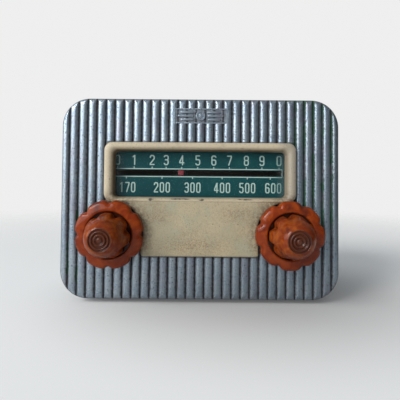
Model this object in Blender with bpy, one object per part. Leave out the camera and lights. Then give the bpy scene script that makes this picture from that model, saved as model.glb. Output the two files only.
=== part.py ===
"""A small mains valve radio with a ribbed metal front, built from the pieces it comes apart into.

Units are metres, +Z is up and the front faces -Y. The origin is below the middle of the whole
radio, on the surface that its rubber feet stand on.

Pieces that look forward are drawn in the plane of the front (x to the right, y up) and rise
towards the viewer; FACING turns them upright.
"""

import math

import bmesh
import bpy

# Case
CASE_WIDTH = 0.191
CASE_HEIGHT = 0.1375
CORNER_RADIUS = 0.019
FACE_Y = -0.030
FRONT_CASING_DEPTH = 0.026
REAR_CASE_END_Y = 0.062
FOOT_HEIGHT = 0.003
FACE_Z = FOOT_HEIGHT + CASE_HEIGHT / 2
FRONT_THICKNESS = 0.0035
CASTING_WALL = 0.002
SHEET_WALL = 0.0015
GAP = 0.0003

# Ribs of the front
GROOVE_COUNT = 30
GROOVE_PITCH = 0.00622
GROOVE_DEPTH = 0.0016
GROOVE_HALF_WIDTH = 0.0013
EDGE_ROUNDING = ((0.0026, 0.0), (0.0012, 0.0006), (0.0004, 0.0018), (0.0, 0.0042))
NAMEPLATE_SIZE = (0.0364, 0.0105)
NAMEPLATE_UP = 0.057

# Dial window and the painted frame round it
# (half width, lower edge, upper edge) of the opening, its wider mouth and the sleeve round it
WINDOW = (0.0585, 0.0010, 0.0324)
WINDOW_MOUTH = (0.0609, 0.0006, 0.0343)
WINDOW_SLEEVE = (0.0600, -0.0001, 0.0340)
FRAME_TOP_UP = 0.0385
FRAME_STEP_UP = -0.0028
FRAME_FOOT_UP = -0.0391
FRAME_HALF_WIDTH = 0.0657
FRAME_FOOT_HALF_WIDTH = 0.040
FRAME_CUTOUT_RADIUS = 0.0215
FRAME_CORNERS = (0.0055, 0.0065, 0.0020)
FRAME_PROUD = 0.0030
DIAL_DEPTH = 0.006
DIAL_UP = 0.0167
DIAL_SIZE = (0.128, 0.041)
DIAL_THICKNESS = 0.001
DIAL_SLOT_SIZE = (0.118, 0.0042)
GLASS_THICKNESS = 0.0012

# Controls: two concentric pairs
KNOB_X = 0.0601
KNOB_UP = -0.0236
KNOB_Z = FACE_Z + KNOB_UP
SHAFT_RADIUS = 0.0020
SLEEVE_RADIUS = 0.0032
SLEEVE_BORE = 0.0023
BUSH_BORE = 0.0035
BUSH_RADIUS = 0.0048
OUTER_KNOB_RADIUS = 0.0229
OUTER_KNOB_BASE = 0.0034
OUTER_KNOB_TOP = 0.0120
SCALLOPS = 8
SCALLOP_DEPTH = 0.0020
INNER_KNOB_TOP = 0.035
INNER_KNOB_BASE = 0.0125
INNER_KNOB_RADIUS = 0.0147
FLUTES = 7
FLUTE_DEPTH = 0.0010
OUTER_KNOB_POINTS = 6 * SCALLOPS
INNER_KNOB_POINTS = 6 * FLUTES

# Dial drive, behind its plate
BACKPLATE_FRONT_Y = -0.016
BACKPLATE_THICKNESS = 0.0012
BACKPLATE_HALF_WIDTH = 0.084
CORD_RADIUS = 0.0004
CORD_CLEARANCE = 0.0006
CORD_Y = -0.011
RAIL_Z = 0.086
POINTER_Z = FACE_Z + 0.01775
POINTER_X = -0.0133
IDLER_X = 0.070
IDLER_RADIUS = 0.005
SPINDLE_RADIUS = 0.006
DRUM_RADIUS = 0.0348
DRUM_Z = 0.050
DRUM_Y = -0.0067

# Chassis and what stands on it
CHASSIS_HALF_WIDTH = 0.084
CHASSIS_FRONT_Y = -0.0043
CHASSIS_REAR_Y = 0.056
CHASSIS_BOTTOM_Z = 0.008
CHASSIS_TOP_Z = 0.028
VALVE_PLACES = ((-0.032, 0.009), (-0.032, 0.044), (0.032, 0.009), (0.032, 0.044))
IF_CAN_PLACES = ((-0.032, 0.0265), (0.032, 0.0265))
SPEAKER_Y = 0.0282
SPEAKER_Z = 0.084
SPEAKER_RADIUS = 0.031
SPEAKER_FLANGE_X = 0.0915

# Rear
COVER_THICKNESS = 0.002
COVER_INSET = SHEET_WALL + GAP
REAR_MOST_Y = 0.065
VENTS_EACH_SIDE = 7
VENT_FIRST_X = 0.024
VENT_PITCH = 0.0075
VENT_WIDTH = 0.003
VENT_LENGTH = 0.034
VENT_Y = 0.032
SPEAKER_SLOTS = 9
SPEAKER_SLOT_PITCH = 0.0058
SPEAKER_SLOT_WIDTH = 0.0028
SPEAKER_GRILLE_RADIUS = 0.028
COVER_SLOTS = 12
COVER_SLOT_PITCH = 0.011
COVER_SLOT_SIZE = (0.004, 0.011)
COVER_SLOT_ROWS = (-0.0135, 0.0500)
SCREW_X = 0.078
SCREW_UP = 0.052
INLET_X = 0.050
TERMINALS_X = -0.050
SOCKET_Z = 0.042
FOOT_PLACES = ((-0.066, 0.007), (0.066, 0.007), (-0.066, 0.050), (0.066, 0.050))

FACING = (math.pi / 2, 0.0, 0.0)
SIDEWAYS = (0.0, math.pi / 2, 0.0)


def clear_scene():
    for obj in list(bpy.data.objects):
        bpy.data.objects.remove(obj, do_unlink=True)


def material(name, colour, roughness, metallic=0.0):
    made = bpy.data.materials.new(name)
    made.use_nodes = True
    shader = made.node_tree.nodes["Principled BSDF"]
    shader.inputs["Base Color"].default_value = (*colour, 1.0)
    shader.inputs["Roughness"].default_value = roughness
    shader.inputs["Metallic"].default_value = metallic
    return made


# Outlines: closed lists of (x, y), running anticlockwise


def circle(radius, count=24):
    steps = [2 * math.pi * i / count for i in range(count)]
    return [(radius * math.cos(a), radius * math.sin(a)) for a in steps]


def arc(centre, radius, start, end, count):
    """Points on an arc, its angles in degrees, both ends included."""
    points = []
    for i in range(count + 1):
        angle = math.radians(start + (end - start) * i / count)
        points.append((centre[0] + radius * math.cos(angle), centre[1] + radius * math.sin(angle)))
    return points


def rounded_rectangle(width, height, radius, corner_steps=6):
    across = width / 2 - radius
    up = height / 2 - radius
    outline = []
    for turn, centre in enumerate(((across, up), (-across, up), (-across, -up), (across, -up))):
        outline += arc(centre, radius, 90 * turn, 90 * turn + 90, corner_steps)
    return outline


def case_outline(inset):
    return rounded_rectangle(CASE_WIDTH - 2 * inset, CASE_HEIGHT - 2 * inset, CORNER_RADIUS - inset)


def rectangle(width, height):
    across = width / 2
    up = height / 2
    return [(across, -up), (across, up), (-across, up), (-across, -up)]


def hexagon(flat_radius, count=24):
    outline = []
    for i in range(count):
        angle = 2 * math.pi * i / count
        from_flat = (angle + math.pi / 6) % (math.pi / 3) - math.pi / 6
        reach = flat_radius / math.cos(from_flat)
        outline.append((reach * math.cos(angle), reach * math.sin(angle)))
    return outline


def scalloped(radius, count=OUTER_KNOB_POINTS):
    """A circle with rounded notches in its edge."""
    outline = []
    for i in range(count):
        angle = 2 * math.pi * i / count
        notch = ((1 + math.cos(SCALLOPS * angle)) / 2) ** 3
        reach = radius - SCALLOP_DEPTH * notch
        outline.append((reach * math.cos(angle), reach * math.sin(angle)))
    return outline


def fluted(radius, depth, count=INNER_KNOB_POINTS):
    """A circle with broad shallow flutes."""
    outline = []
    for i in range(count):
        angle = 2 * math.pi * i / count
        reach = radius - depth * (1 + math.cos(FLUTES * angle)) / 2
        outline.append((reach * math.cos(angle), reach * math.sin(angle)))
    return outline


def moved(outline, across, up):
    return [(x + across, y + up) for x, y in outline]


def window_outline(spans, radius, margin=0.0):
    """A rounded rectangle from (half width, lower edge, upper edge), grown by a margin."""
    half_width, low, high = spans
    width = 2 * (half_width + margin)
    height = high - low + 2 * margin
    return moved(rounded_rectangle(width, height, radius, 3), 0.0, (low + high) / 2)


# Solids


def loft(mesh, sections, ring=False):
    """Skin a list of (outline, height); a ring joins its last section to its first."""
    rows = []
    for outline, height in sections:
        rows.append([mesh.verts.new((x, y, height)) for x, y in outline])
    pairs = list(zip(rows, rows[1:]))
    if ring:
        pairs.append((rows[-1], rows[0]))
    for lower, upper in pairs:
        for i in range(len(lower)):
            j = (i + 1) % len(lower)
            mesh.faces.new((lower[i], lower[j], upper[j], upper[i]))
    if not ring:
        mesh.faces.new(rows[0][::-1])
        mesh.faces.new(rows[-1])


def solid(sections, ring=False):
    mesh = bmesh.new()
    loft(mesh, sections, ring)
    return mesh


def turned(profile, ring=False, count=24):
    """A solid of revolution from (radius, height) pairs."""
    return solid([(circle(radius, count), height) for radius, height in profile], ring)


def box(size, centre=(0.0, 0.0, 0.0)):
    x, y, z = centre
    outline = moved(rectangle(size[0], size[1]), x, y)
    return solid([(outline, z - size[2] / 2), (outline, z + size[2] / 2)])


def prism(outline, low, high):
    return solid([(outline, low), (outline, high)])


def blunt_box(width, depth, height, radius, edge):
    """An upright box with round corners and a softened top, standing on z = 0."""
    return solid([
        (rounded_rectangle(width, depth, radius, 3), 0.0),
        (rounded_rectangle(width, depth, radius, 3), height - edge),
        (rounded_rectangle(width - 2 * edge, depth - 2 * edge, radius, 3), height),
    ])


def gather(*meshes):
    """Put several solids that don't meet into one mesh, for use as a cutter."""
    whole = bmesh.new()
    for part in meshes:
        data = bpy.data.meshes.new("gathered")
        part.to_mesh(data)
        part.free()
        whole.from_mesh(data)
        bpy.data.meshes.remove(data)
    return whole


def placed(name, mesh, place=(0.0, 0.0, 0.0), turn=(0.0, 0.0, 0.0)):
    bmesh.ops.recalc_face_normals(mesh, faces=mesh.faces)
    data = bpy.data.meshes.new(name)
    mesh.to_mesh(data)
    mesh.free()
    obj = bpy.data.objects.new(name, data)
    bpy.context.scene.collection.objects.link(obj)
    obj.location = place
    obj.rotation_euler = turn
    return obj


def part(name, mesh, finish, place=(0.0, 0.0, 0.0), turn=(0.0, 0.0, 0.0), smooth=False):
    obj = placed(name, mesh, place, turn)
    obj.data.materials.append(finish)
    if smooth:
        obj.data.shade_smooth()
        obj.data.set_sharp_from_angle(angle=math.radians(35))
    return obj


def combine(obj, mesh, operation):
    """Cut a mesh out of an object, or join it on, in the object's own frame."""
    tool = placed(obj.name + "_tool", mesh)
    tool.parent = obj
    tool.hide_render = True
    tool.display_type = "WIRE"
    modifier = obj.modifiers.new(operation.lower(), "BOOLEAN")
    modifier.operation = operation
    modifier.solver = "EXACT"
    modifier.object = tool


def at_face(height, x=0.0, up=0.0):
    """A place in front of the rib crests by height."""
    return (x, FACE_Y - height, FACE_Z + up)


# Case


def groove_cutters():
    """V-shaped bars that cut the grooves; the middle six stop above and below the nameplate."""
    full = CASE_HEIGHT / 2 + CASTING_WALL
    plate_low = NAMEPLATE_UP - NAMEPLATE_SIZE[1] / 2
    plate_high = NAMEPLATE_UP + NAMEPLATE_SIZE[1] / 2
    above = 0.001
    reach = GROOVE_HALF_WIDTH * (1 + above / GROOVE_DEPTH)
    bars = []
    for i in range(GROOVE_COUNT):
        x = (i - (GROOVE_COUNT - 1) / 2) * GROOVE_PITCH
        spans = [(-full, full)]
        if abs(x) < NAMEPLATE_SIZE[0] / 2:
            spans = [(-full, plate_low), (plate_high, full)]
        for low, high in spans:
            bar = bmesh.new()
            corners = ((x - reach, above), (x + reach, above), (x, -GROOVE_DEPTH))
            ends = []
            for up in (low, high):
                ends.append([bar.verts.new((cx, up, height)) for cx, height in corners])
            bar.faces.new(ends[0])
            bar.faces.new(ends[1][::-1])
            for a in range(3):
                b = (a + 1) % 3
                bar.faces.new((ends[0][a], ends[0][b], ends[1][b], ends[1][a]))
            bmesh.ops.recalc_face_normals(bar, faces=bar.faces)
            bars.append(bar)
    return gather(*bars)


def shaft_hole(side):
    return prism(moved(circle(BUSH_RADIUS + GAP, 16), side * KNOB_X, KNOB_UP), -0.010, 0.010)


def make_front_casing(finish):
    back = -FRONT_CASING_DEPTH
    sections = [(case_outline(inset), -depth) for depth, inset in reversed(EDGE_ROUNDING)]
    sections.append((case_outline(0.0), back))
    sections.append((case_outline(CASTING_WALL), back))
    sections.append((case_outline(CASTING_WALL), -FRONT_THICKNESS))
    casing = part("front_casing", solid(sections), finish, at_face(0.0), FACING)
    combine(casing, groove_cutters(), "DIFFERENCE")
    opening = prism(window_outline(WINDOW_SLEEVE, 0.002, GAP), -0.010, 0.010)
    combine(casing, gather(opening, shaft_hole(-1), shaft_hole(1)), "DIFFERENCE")


def slot_bars(places, width, height, low, high):
    """Straight-through cutters for a row of slots."""
    bars = [prism(moved(rectangle(width, height), x, y), low, high) for x, y in places]
    return gather(*bars)


def make_rear_case(finish):
    length = REAR_CASE_END_Y - (FACE_Y + FRONT_CASING_DEPTH + GAP)
    sections = [
        (case_outline(0.0), 0.0),
        (case_outline(0.0), length),
        (case_outline(SHEET_WALL), length),
        (case_outline(SHEET_WALL), 0.0),
    ]
    place = (0.0, REAR_CASE_END_Y, FACE_Z)
    case = part("rear_case", solid(sections, ring=True), finish, place, FACING)
    vents = []
    for i in range(VENTS_EACH_SIDE):
        for side in (-1, 1):
            x = side * (VENT_FIRST_X + VENT_PITCH * i)
            centre = (x, CASE_HEIGHT / 2, REAR_CASE_END_Y - VENT_Y)
            vents.append(box((VENT_WIDTH, 0.010, VENT_LENGTH), centre))
    combine(case, gather(*vents), "DIFFERENCE")
    slots = []
    for i in range(SPEAKER_SLOTS):
        along = (i - (SPEAKER_SLOTS - 1) / 2) * SPEAKER_SLOT_PITCH
        reach = math.sqrt(SPEAKER_GRILLE_RADIUS**2 - along**2)
        centre = (CASE_WIDTH / 2, SPEAKER_Z - FACE_Z, REAR_CASE_END_Y - SPEAKER_Y + along)
        slots.append(box((0.010, 2 * reach, SPEAKER_SLOT_WIDTH), centre))
    combine(case, gather(*slots), "DIFFERENCE")


def make_rear_cover(finish):
    outline = case_outline(COVER_INSET)
    place = (0.0, REAR_CASE_END_Y, FACE_Z)
    cover = part("rear_cover", prism(outline, 0.0, COVER_THICKNESS), finish, place, FACING)
    rows = []
    for up in COVER_SLOT_ROWS:
        rows += [((i - (COVER_SLOTS - 1) / 2) * COVER_SLOT_PITCH, up) for i in range(COVER_SLOTS)]
    combine(cover, slot_bars(rows, *COVER_SLOT_SIZE, -0.005, 0.005), "DIFFERENCE")
    holes = [prism(moved(circle(0.0020, 12), x, up), -0.005, 0.005) for x, up in screw_places()]
    inlet = moved(rectangle(0.0246, 0.0136), INLET_X, SOCKET_Z - FACE_Z)
    holes.append(prism(inlet, -0.005, 0.005))
    combine(cover, gather(*holes), "DIFFERENCE")


def screw_places():
    return [(x, up) for x in (-SCREW_X, SCREW_X) for up in (-SCREW_UP, SCREW_UP)]


def make_cover_screws(finish):
    profile = (
        (0.0016, 0.0055), (0.0016, -GAP), (0.0034, -GAP),
        (0.0034, -GAP - 0.0006), (0.0022, -GAP - 0.0015),
    )
    for number, (x, up) in enumerate(screw_places(), 1):
        place = (x, REAR_CASE_END_Y, FACE_Z + up)
        screw = part(f"cover_screw_{number}", turned(profile, count=12), finish, place, FACING, True)
        combine(screw, box((0.008, 0.0008, 0.0012), (0.0, 0.0, -GAP - 0.0016)), "DIFFERENCE")


def make_feet(finish):
    profile = ((0.0052, 0.0), (0.0060, 0.0008), (0.0060, FOOT_HEIGHT - GAP))
    for number, (x, y) in enumerate(FOOT_PLACES, 1):
        part(f"rubber_foot_{number}", turned(profile, count=16), finish, (x, y, 0.0), smooth=True)


# Dial window


def frame_outline():
    """The painted frame's outline: a bar over a narrower plate, hollowed round the two knobs."""
    corner, step_corner, foot_corner = FRAME_CORNERS
    top = FRAME_TOP_UP - corner
    across = FRAME_HALF_WIDTH - corner
    right = arc((across, top), corner, 90, 0, 5)
    right += arc(
        (FRAME_HALF_WIDTH - step_corner, FRAME_STEP_UP + step_corner), step_corner, 0, -90, 5
    )
    high = math.degrees(math.asin((FRAME_STEP_UP - KNOB_UP) / FRAME_CUTOUT_RADIUS))
    foot_top = FRAME_FOOT_UP + foot_corner
    low = math.degrees(math.acos((KNOB_X - FRAME_FOOT_HALF_WIDTH) / FRAME_CUTOUT_RADIUS))
    right += arc((KNOB_X, KNOB_UP), FRAME_CUTOUT_RADIUS, 180 - high, 180 + low, 12)
    right += arc((FRAME_FOOT_HALF_WIDTH - foot_corner, foot_top), foot_corner, 0, -90, 3)
    left = [(-x, up) for x, up in reversed(right)]
    return right + left


def make_escutcheon(finish):
    outline = frame_outline()
    sections = [(outline, GAP), (outline, FRAME_PROUD)]
    frame = part("escutcheon", solid(sections), finish, at_face(0.0), FACING)
    combine(frame, prism(window_outline(WINDOW_SLEEVE, 0.002), -0.0032, 0.001), "UNION")
    narrow = window_outline(WINDOW, 0.003)
    wide = window_outline(WINDOW_MOUTH, 0.005)
    mouth = solid([(narrow, -0.005), (narrow, -0.0015), (wide, FRAME_PROUD), (wide, 0.005)])
    combine(frame, mouth, "DIFFERENCE")


def make_dial(scale_finish, glass_finish):
    outline = window_outline(WINDOW_SLEEVE, 0.002, 0.0015)
    glass_front = -FRONT_THICKNESS - GAP
    glass = prism(outline, glass_front - GLASS_THICKNESS, glass_front)
    part("dial_glass", glass, glass_finish, at_face(0.0), FACING)
    outline = moved(rectangle(*DIAL_SIZE), 0.0, DIAL_UP)
    plate = prism(outline, -DIAL_DEPTH - DIAL_THICKNESS, -DIAL_DEPTH)
    scale = part("dial_scale", plate, scale_finish, at_face(0.0), FACING)
    slot = moved(rectangle(*DIAL_SLOT_SIZE), 0.0, POINTER_Z - FACE_Z)
    combine(scale, prism(slot, -0.010, 0.0), "DIFFERENCE")


def make_dial_lamp(glass_finish, holder_finish):
    bulb = ((0.0022, 0.0003), (0.0022, 0.0040), (0.0040, 0.0075), (0.0040, 0.0110), (0.0018, 0.0140))
    place = (0.0, -0.0202, 0.1142)
    part("dial_lamp", turned(bulb, count=16), glass_finish, place, SIDEWAYS, True)
    holder = ((0.0038, -0.0100), (0.0038, 0.0))
    part("lamp_holder", turned(holder, count=16), holder_finish, place, SIDEWAYS, True)


# Dial drive


def make_dial_backplate(finish):
    rear = BACKPLATE_FRONT_Y + BACKPLATE_THICKNESS
    inside = BACKPLATE_HALF_WIDTH - BACKPLATE_THICKNESS
    flange_end = CHASSIS_FRONT_Y - GAP
    channel = [
        (-BACKPLATE_HALF_WIDTH, BACKPLATE_FRONT_Y), (BACKPLATE_HALF_WIDTH, BACKPLATE_FRONT_Y),
        (BACKPLATE_HALF_WIDTH, flange_end), (inside, flange_end), (inside, rear),
        (-inside, rear), (-inside, flange_end), (-BACKPLATE_HALF_WIDTH, flange_end),
    ]
    plate = part("dial_backplate", prism(channel, 0.012, 0.118), finish)
    middle = (BACKPLATE_FRONT_Y + rear) / 2
    holes = [box((0.120, 0.004, 0.0034), (0.0, middle, POINTER_Z))]
    combine(plate, gather(*holes), "DIFFERENCE")
    add_backplate_fittings(plate, middle)


def add_backplate_fittings(plate, middle):
    """Bearing holes, pulley pins, rail posts and dial posts, square to the plate."""
    for side in (-1, 1):
        hole = turned(((SLEEVE_BORE, -0.004), (SLEEVE_BORE, 0.004)), count=16)
        combine_turned(plate, hole, (side * KNOB_X, middle, KNOB_Z), "DIFFERENCE")
        pin = turned(((0.0015, 0.0), (0.0015, -0.0066), (0.0028, -0.0066), (0.0028, -0.0072)), count=12)
        combine_turned(plate, pin, (side * IDLER_X, middle, POINTER_Z), "UNION")
        post = box((0.0015, 0.006, 0.003), (side * 0.06255, middle + 0.003, RAIL_Z))
        combine(plate, post, "UNION")
        for up in (-0.0175, 0.0175):
            dial_back = FACE_Y + DIAL_DEPTH + DIAL_THICKNESS + GAP
            stud = turned(((0.0020, 0.0), (0.0020, middle - dial_back)), count=8)
            place = (side * 0.0615, middle, FACE_Z + DIAL_UP + up)
            combine_turned(plate, stud, place, "UNION")


def combine_turned(obj, mesh, place, operation):
    """As combine, with the mesh turned to face forward at a place."""
    combine(obj, mesh, operation)
    tool = obj.modifiers[-1].object
    tool.location = place
    tool.rotation_euler = FACING


def make_pointer_carriage(carriage_finish, pointer_finish, rail_finish):
    rail = turned(((0.00125, -0.0615), (0.00125, 0.0615)), count=12)
    part("pointer_rail", rail, rail_finish, (0.0, CORD_Y, RAIL_Z), SIDEWAYS, True)
    carriage_mesh = box((0.008, 0.0042, 0.0125), (0.0, -0.0002, 0.00075))
    place = (POINTER_X, CORD_Y, POINTER_Z)
    carriage = part("pointer_carriage", carriage_mesh, carriage_finish, place)
    for up, radius in ((RAIL_Z - POINTER_Z, 0.00155), (IDLER_RADIUS, 0.0009)):
        bore = turned(((radius, -0.010), (radius, 0.010)), count=12)
        combine(carriage, bore, "DIFFERENCE")
        tool = carriage.modifiers[-1].object
        tool.location = (0.0, 0.0, up)
        tool.rotation_euler = SIDEWAYS
    arm_end = CORD_Y - 0.0023 - GAP
    blade_rear = FACE_Y + 0.0072
    blade_front = FACE_Y + 0.0054
    arm = solid([
        (rectangle(0.0034, 0.0030), -blade_front),
        (rectangle(0.0034, 0.0030), -blade_rear),
        (rectangle(0.0014, 0.0014), -blade_rear),
        (rectangle(0.0014, 0.0014), -arm_end),
    ])
    part("pointer", arm, pointer_finish, (POINTER_X, 0.0, POINTER_Z), FACING)


def make_idler_pulleys(finish):
    profile = (
        (0.0018, -0.0015), (0.0062, -0.0015), (0.0062, -0.0011), (0.0043, -0.0004),
        (0.0043, 0.0004), (0.0062, 0.0011), (0.0062, 0.0015), (0.0018, 0.0015),
    )
    for side, name in ((-1, "left"), (1, "right")):
        place = (side * IDLER_X, CORD_Y, POINTER_Z)
        part(f"idler_pulley_{name}", turned(profile, True), finish, place, FACING, True)


def make_drive_drum(finish):
    groove = DRUM_RADIUS - CORD_RADIUS - CORD_CLEARANCE
    profile = (
        (0.0033, -0.0019), (0.0060, -0.0019), (0.0060, -0.0006), (0.0310, -0.0006),
        (0.0310, -0.0019), (0.0363, -0.0019), (0.0363, -0.0014), (groove, -0.0014),
        (groove, 0.0014), (0.0363, 0.0014), (0.0363, 0.0019), (0.0310, 0.0019),
        (0.0310, 0.0006), (0.0060, 0.0006), (0.0060, 0.0019), (0.0033, 0.0019),
    )
    drum = part("drive_drum", turned(profile, True, 28), finish, (0.0, DRUM_Y, DRUM_Z), FACING, True)
    holes = []
    for i in range(4):
        angle = math.pi / 4 + i * math.pi / 2
        centre = (0.0185 * math.cos(angle), 0.0185 * math.sin(angle))
        holes.append(prism(moved(circle(0.0075, 8), *centre), -0.004, 0.004))
    combine(drum, gather(*holes), "DIFFERENCE")


def cord_route():
    """The closed run of the dial cord, round four wheels, as points in x, y, z.

    Each wheel is (x, z, radius, extra turns, entry y, exit y); the cord goes round all of them
    clockwise as seen from the front, and winds along the axis where it makes extra turns.
    """
    idler_z = POINTER_Z
    wheels = (
        (IDLER_X, idler_z, IDLER_RADIUS, 0, CORD_Y, CORD_Y),
        (KNOB_X, KNOB_Z, SPINDLE_RADIUS, 2, -0.0106, -0.0080),
        (0.0, DRUM_Z, DRUM_RADIUS, 1, DRUM_Y - 0.0008, DRUM_Y + 0.0007),
        (-IDLER_X, idler_z, IDLER_RADIUS, 0, CORD_Y, CORD_Y),
    )
    leaving = []
    for i, wheel in enumerate(wheels):
        other = wheels[(i + 1) % len(wheels)]
        across = other[0] - wheel[0]
        up = other[1] - wheel[1]
        heading = math.atan2(up, across)
        tilt = math.asin((wheel[2] - other[2]) / math.hypot(across, up))
        leaving.append(heading + math.pi / 2 - tilt)
    route = []
    for i, (x, z, radius, turns, entry_y, exit_y) in enumerate(wheels):
        start = leaving[i - 1]
        sweep = (start - leaving[i]) % (2 * math.pi) + 2 * math.pi * turns
        steps = max(4, round(sweep / math.radians(30)))
        if turns == 1:
            steps = round(sweep / math.radians(16))
        for step in range(steps + 1):
            angle = start - sweep * step / steps
            y = entry_y + (exit_y - entry_y) * step / steps
            route.append((x + radius * math.cos(angle), y, z + radius * math.sin(angle)))
    return route


def make_drive_cord(finish):
    curve = bpy.data.curves.new("drive_cord", "CURVE")
    curve.dimensions = "3D"
    curve.bevel_depth = CORD_RADIUS
    curve.bevel_resolution = 2
    curve.resolution_u = 1
    curve.render_resolution_u = 0
    route = cord_route()
    spline = curve.splines.new("POLY")
    spline.points.add(len(route) - 1)
    for point, place in zip(spline.points, route):
        point.co = (*place, 1.0)
    spline.use_cyclic_u = True
    curve.materials.append(finish)
    cord = bpy.data.objects.new("drive_cord", curve)
    bpy.context.scene.collection.objects.link(cord)


def comb(first, count, step, thickness, spine, tip, low, high):
    """A row of plates on a spine, as a half-turned profile: (radius, height) pairs."""
    profile = [(spine, low)]
    for i in range(count):
        near = first + i * step
        profile += [
            (spine, near), (tip, near), (tip, near + thickness), (spine, near + thickness),
        ]
    profile.append((spine, high))
    return profile


def half_turned(profile, start, steps=6):
    """A profile swept through half a turn about the height axis."""
    mesh = bmesh.new()
    rows = []
    for i in range(steps + 1):
        angle = start + math.pi * i / steps
        rows.append([mesh.verts.new((r * math.cos(angle), r * math.sin(angle), h)) for r, h in profile])
    for near, far in zip(rows, rows[1:]):
        for i in range(len(near)):
            j = (i + 1) % len(near)
            mesh.faces.new((near[i], near[j], far[j], far[i]))
    mesh.faces.new(rows[0])
    mesh.faces.new(rows[-1][::-1])
    return mesh


def make_tuning_capacitor(vane_finish, frame_finish, shaft_finish):
    place = (0.0, 0.0, DRUM_Z)
    shaft = turned(((0.0030, 0.0086), (0.0030, -0.0470)), count=16)
    part("capacitor_shaft", shaft, shaft_finish, place, FACING, True)
    turning = comb(-0.0400, 7, 0.0050, 0.0012, 0.0052, 0.0168, -0.0420, -0.0040)
    turning += [(0.0033, -0.0040), (0.0033, -0.0420)]
    part("capacitor_rotor", half_turned(turning, math.radians(-70)), vane_finish, place, FACING)
    fixed = comb(-0.0375, 6, 0.0050, 0.0012, 0.0175, 0.0058, -0.0420, -0.0040)
    fixed += [(0.0190, -0.0040), (0.0190, -0.0420)]
    part("capacitor_stator", half_turned(fixed, math.pi), vane_finish, place, FACING)
    low = CHASSIS_TOP_Z + GAP - DRUM_Z
    side = [
        (0.0, low), (0.0, 0.0200), (0.0015, 0.0200), (0.0015, low + 0.0015),
        (0.0445, low + 0.0015), (0.0445, 0.0200), (0.0460, 0.0200), (0.0460, low),
    ]
    frame = bmesh.new()
    ends = [[frame.verts.new((x, y, z)) for y, z in side] for x in (-0.0200, 0.0200)]
    frame.faces.new(ends[0])
    frame.faces.new(ends[1][::-1])
    for i in range(len(side)):
        j = (i + 1) % len(side)
        frame.faces.new((ends[0][i], ends[0][j], ends[1][j], ends[1][i]))
    holder = part("capacitor_frame", frame, frame_finish, place)
    bore = turned(((0.0033, -0.060), (0.0033, 0.010)), count=16)
    combine_turned(holder, bore, (0.0, 0.0, 0.0), "DIFFERENCE")


# Controls


def make_outer_knob(name, side, finish, shift_degrees):
    """A scalloped disc with a bore for its sleeve and a recess that clears the nut."""
    rim = OUTER_KNOB_RADIUS
    top = OUTER_KNOB_TOP
    sections = [
        (circle(BUSH_BORE, OUTER_KNOB_POINTS), 0.0050),
        (circle(0.0085, OUTER_KNOB_POINTS), 0.0050),
        (circle(0.0085, OUTER_KNOB_POINTS), OUTER_KNOB_BASE),
        (scalloped(rim), OUTER_KNOB_BASE),
        (scalloped(rim), top - 0.0030),
        (scalloped(rim - 0.0010), top - 0.0008),
        (scalloped(rim - 0.0032), top),
        (circle(BUSH_BORE, OUTER_KNOB_POINTS), top),
    ]
    turn = (FACING[0], math.radians(-shift_degrees), 0.0)
    part(name, solid(sections, ring=True), finish, at_face(0.0, side * KNOB_X, KNOB_UP), turn, True)


def make_inner_knob(name, side, finish):
    """A fluted, tapering grip with a domed top and a blind bore for its shaft."""
    sections = [
        (circle(SLEEVE_BORE, INNER_KNOB_POINTS), 0.0205),
        (circle(SLEEVE_BORE, INNER_KNOB_POINTS), INNER_KNOB_BASE),
        (fluted(INNER_KNOB_RADIUS - 0.0008, FLUTE_DEPTH), INNER_KNOB_BASE),
        (fluted(INNER_KNOB_RADIUS, FLUTE_DEPTH), INNER_KNOB_BASE + 0.0012),
        (fluted(0.0140, FLUTE_DEPTH), 0.0200),
        (fluted(0.0122, 0.0008), 0.0280),
        (circle(0.0098, INNER_KNOB_POINTS), 0.0325),
        (circle(0.0078, INNER_KNOB_POINTS), 0.0340),
        (circle(0.0064, INNER_KNOB_POINTS), INNER_KNOB_TOP),
    ]
    part(name, solid(sections), finish, at_face(0.0, side * KNOB_X, KNOB_UP), FACING, True)


def make_front_control(name, side, finish):
    """The front half of a concentric control: a round can whose bush comes through the casing."""
    profile = (
        (BUSH_BORE, -0.0130), (0.0125, -0.0130), (0.0125, -0.0038),
        (BUSH_RADIUS, -0.0038), (BUSH_RADIUS, 0.0032), (BUSH_BORE, 0.0032),
    )
    part(name, turned(profile, True), finish, at_face(0.0, side * KNOB_X, KNOB_UP), FACING, True)


def make_control_nut(name, side, finish):
    sections = [
        (circle(BUSH_RADIUS + GAP), GAP), (hexagon(0.0068), GAP),
        (hexagon(0.0068), 0.0026), (circle(BUSH_RADIUS + GAP), 0.0026),
    ]
    part(name, solid(sections, ring=True), finish, at_face(0.0, side * KNOB_X, KNOB_UP), FACING)


def make_sleeve(name, side, finish):
    sleeve_top = OUTER_KNOB_TOP - 0.0001
    profile = (
        (SLEEVE_BORE, -0.0120), (SLEEVE_RADIUS, -0.0120), (SLEEVE_RADIUS, sleeve_top), (SLEEVE_BORE, sleeve_top),
    )
    part(name, turned(profile, True, 16), finish, at_face(0.0, side * KNOB_X, KNOB_UP), FACING, True)


def make_volume_parts(metal, can_finish):
    place = at_face(0.0, -KNOB_X, KNOB_UP)
    shaft = turned(((SHAFT_RADIUS, -0.0220), (SHAFT_RADIUS, 0.0200)), count=16)
    part("volume_shaft", shaft, metal, place, FACING, True)
    can = (
        (SLEEVE_BORE, -0.0225), (SLEEVE_BORE, -0.0152), (0.0120, -0.0152),
        (0.0120, -0.0240), (0.0105, -0.0255),
    )
    part("volume_control", turned(can), can_finish, place, FACING, True)


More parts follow.
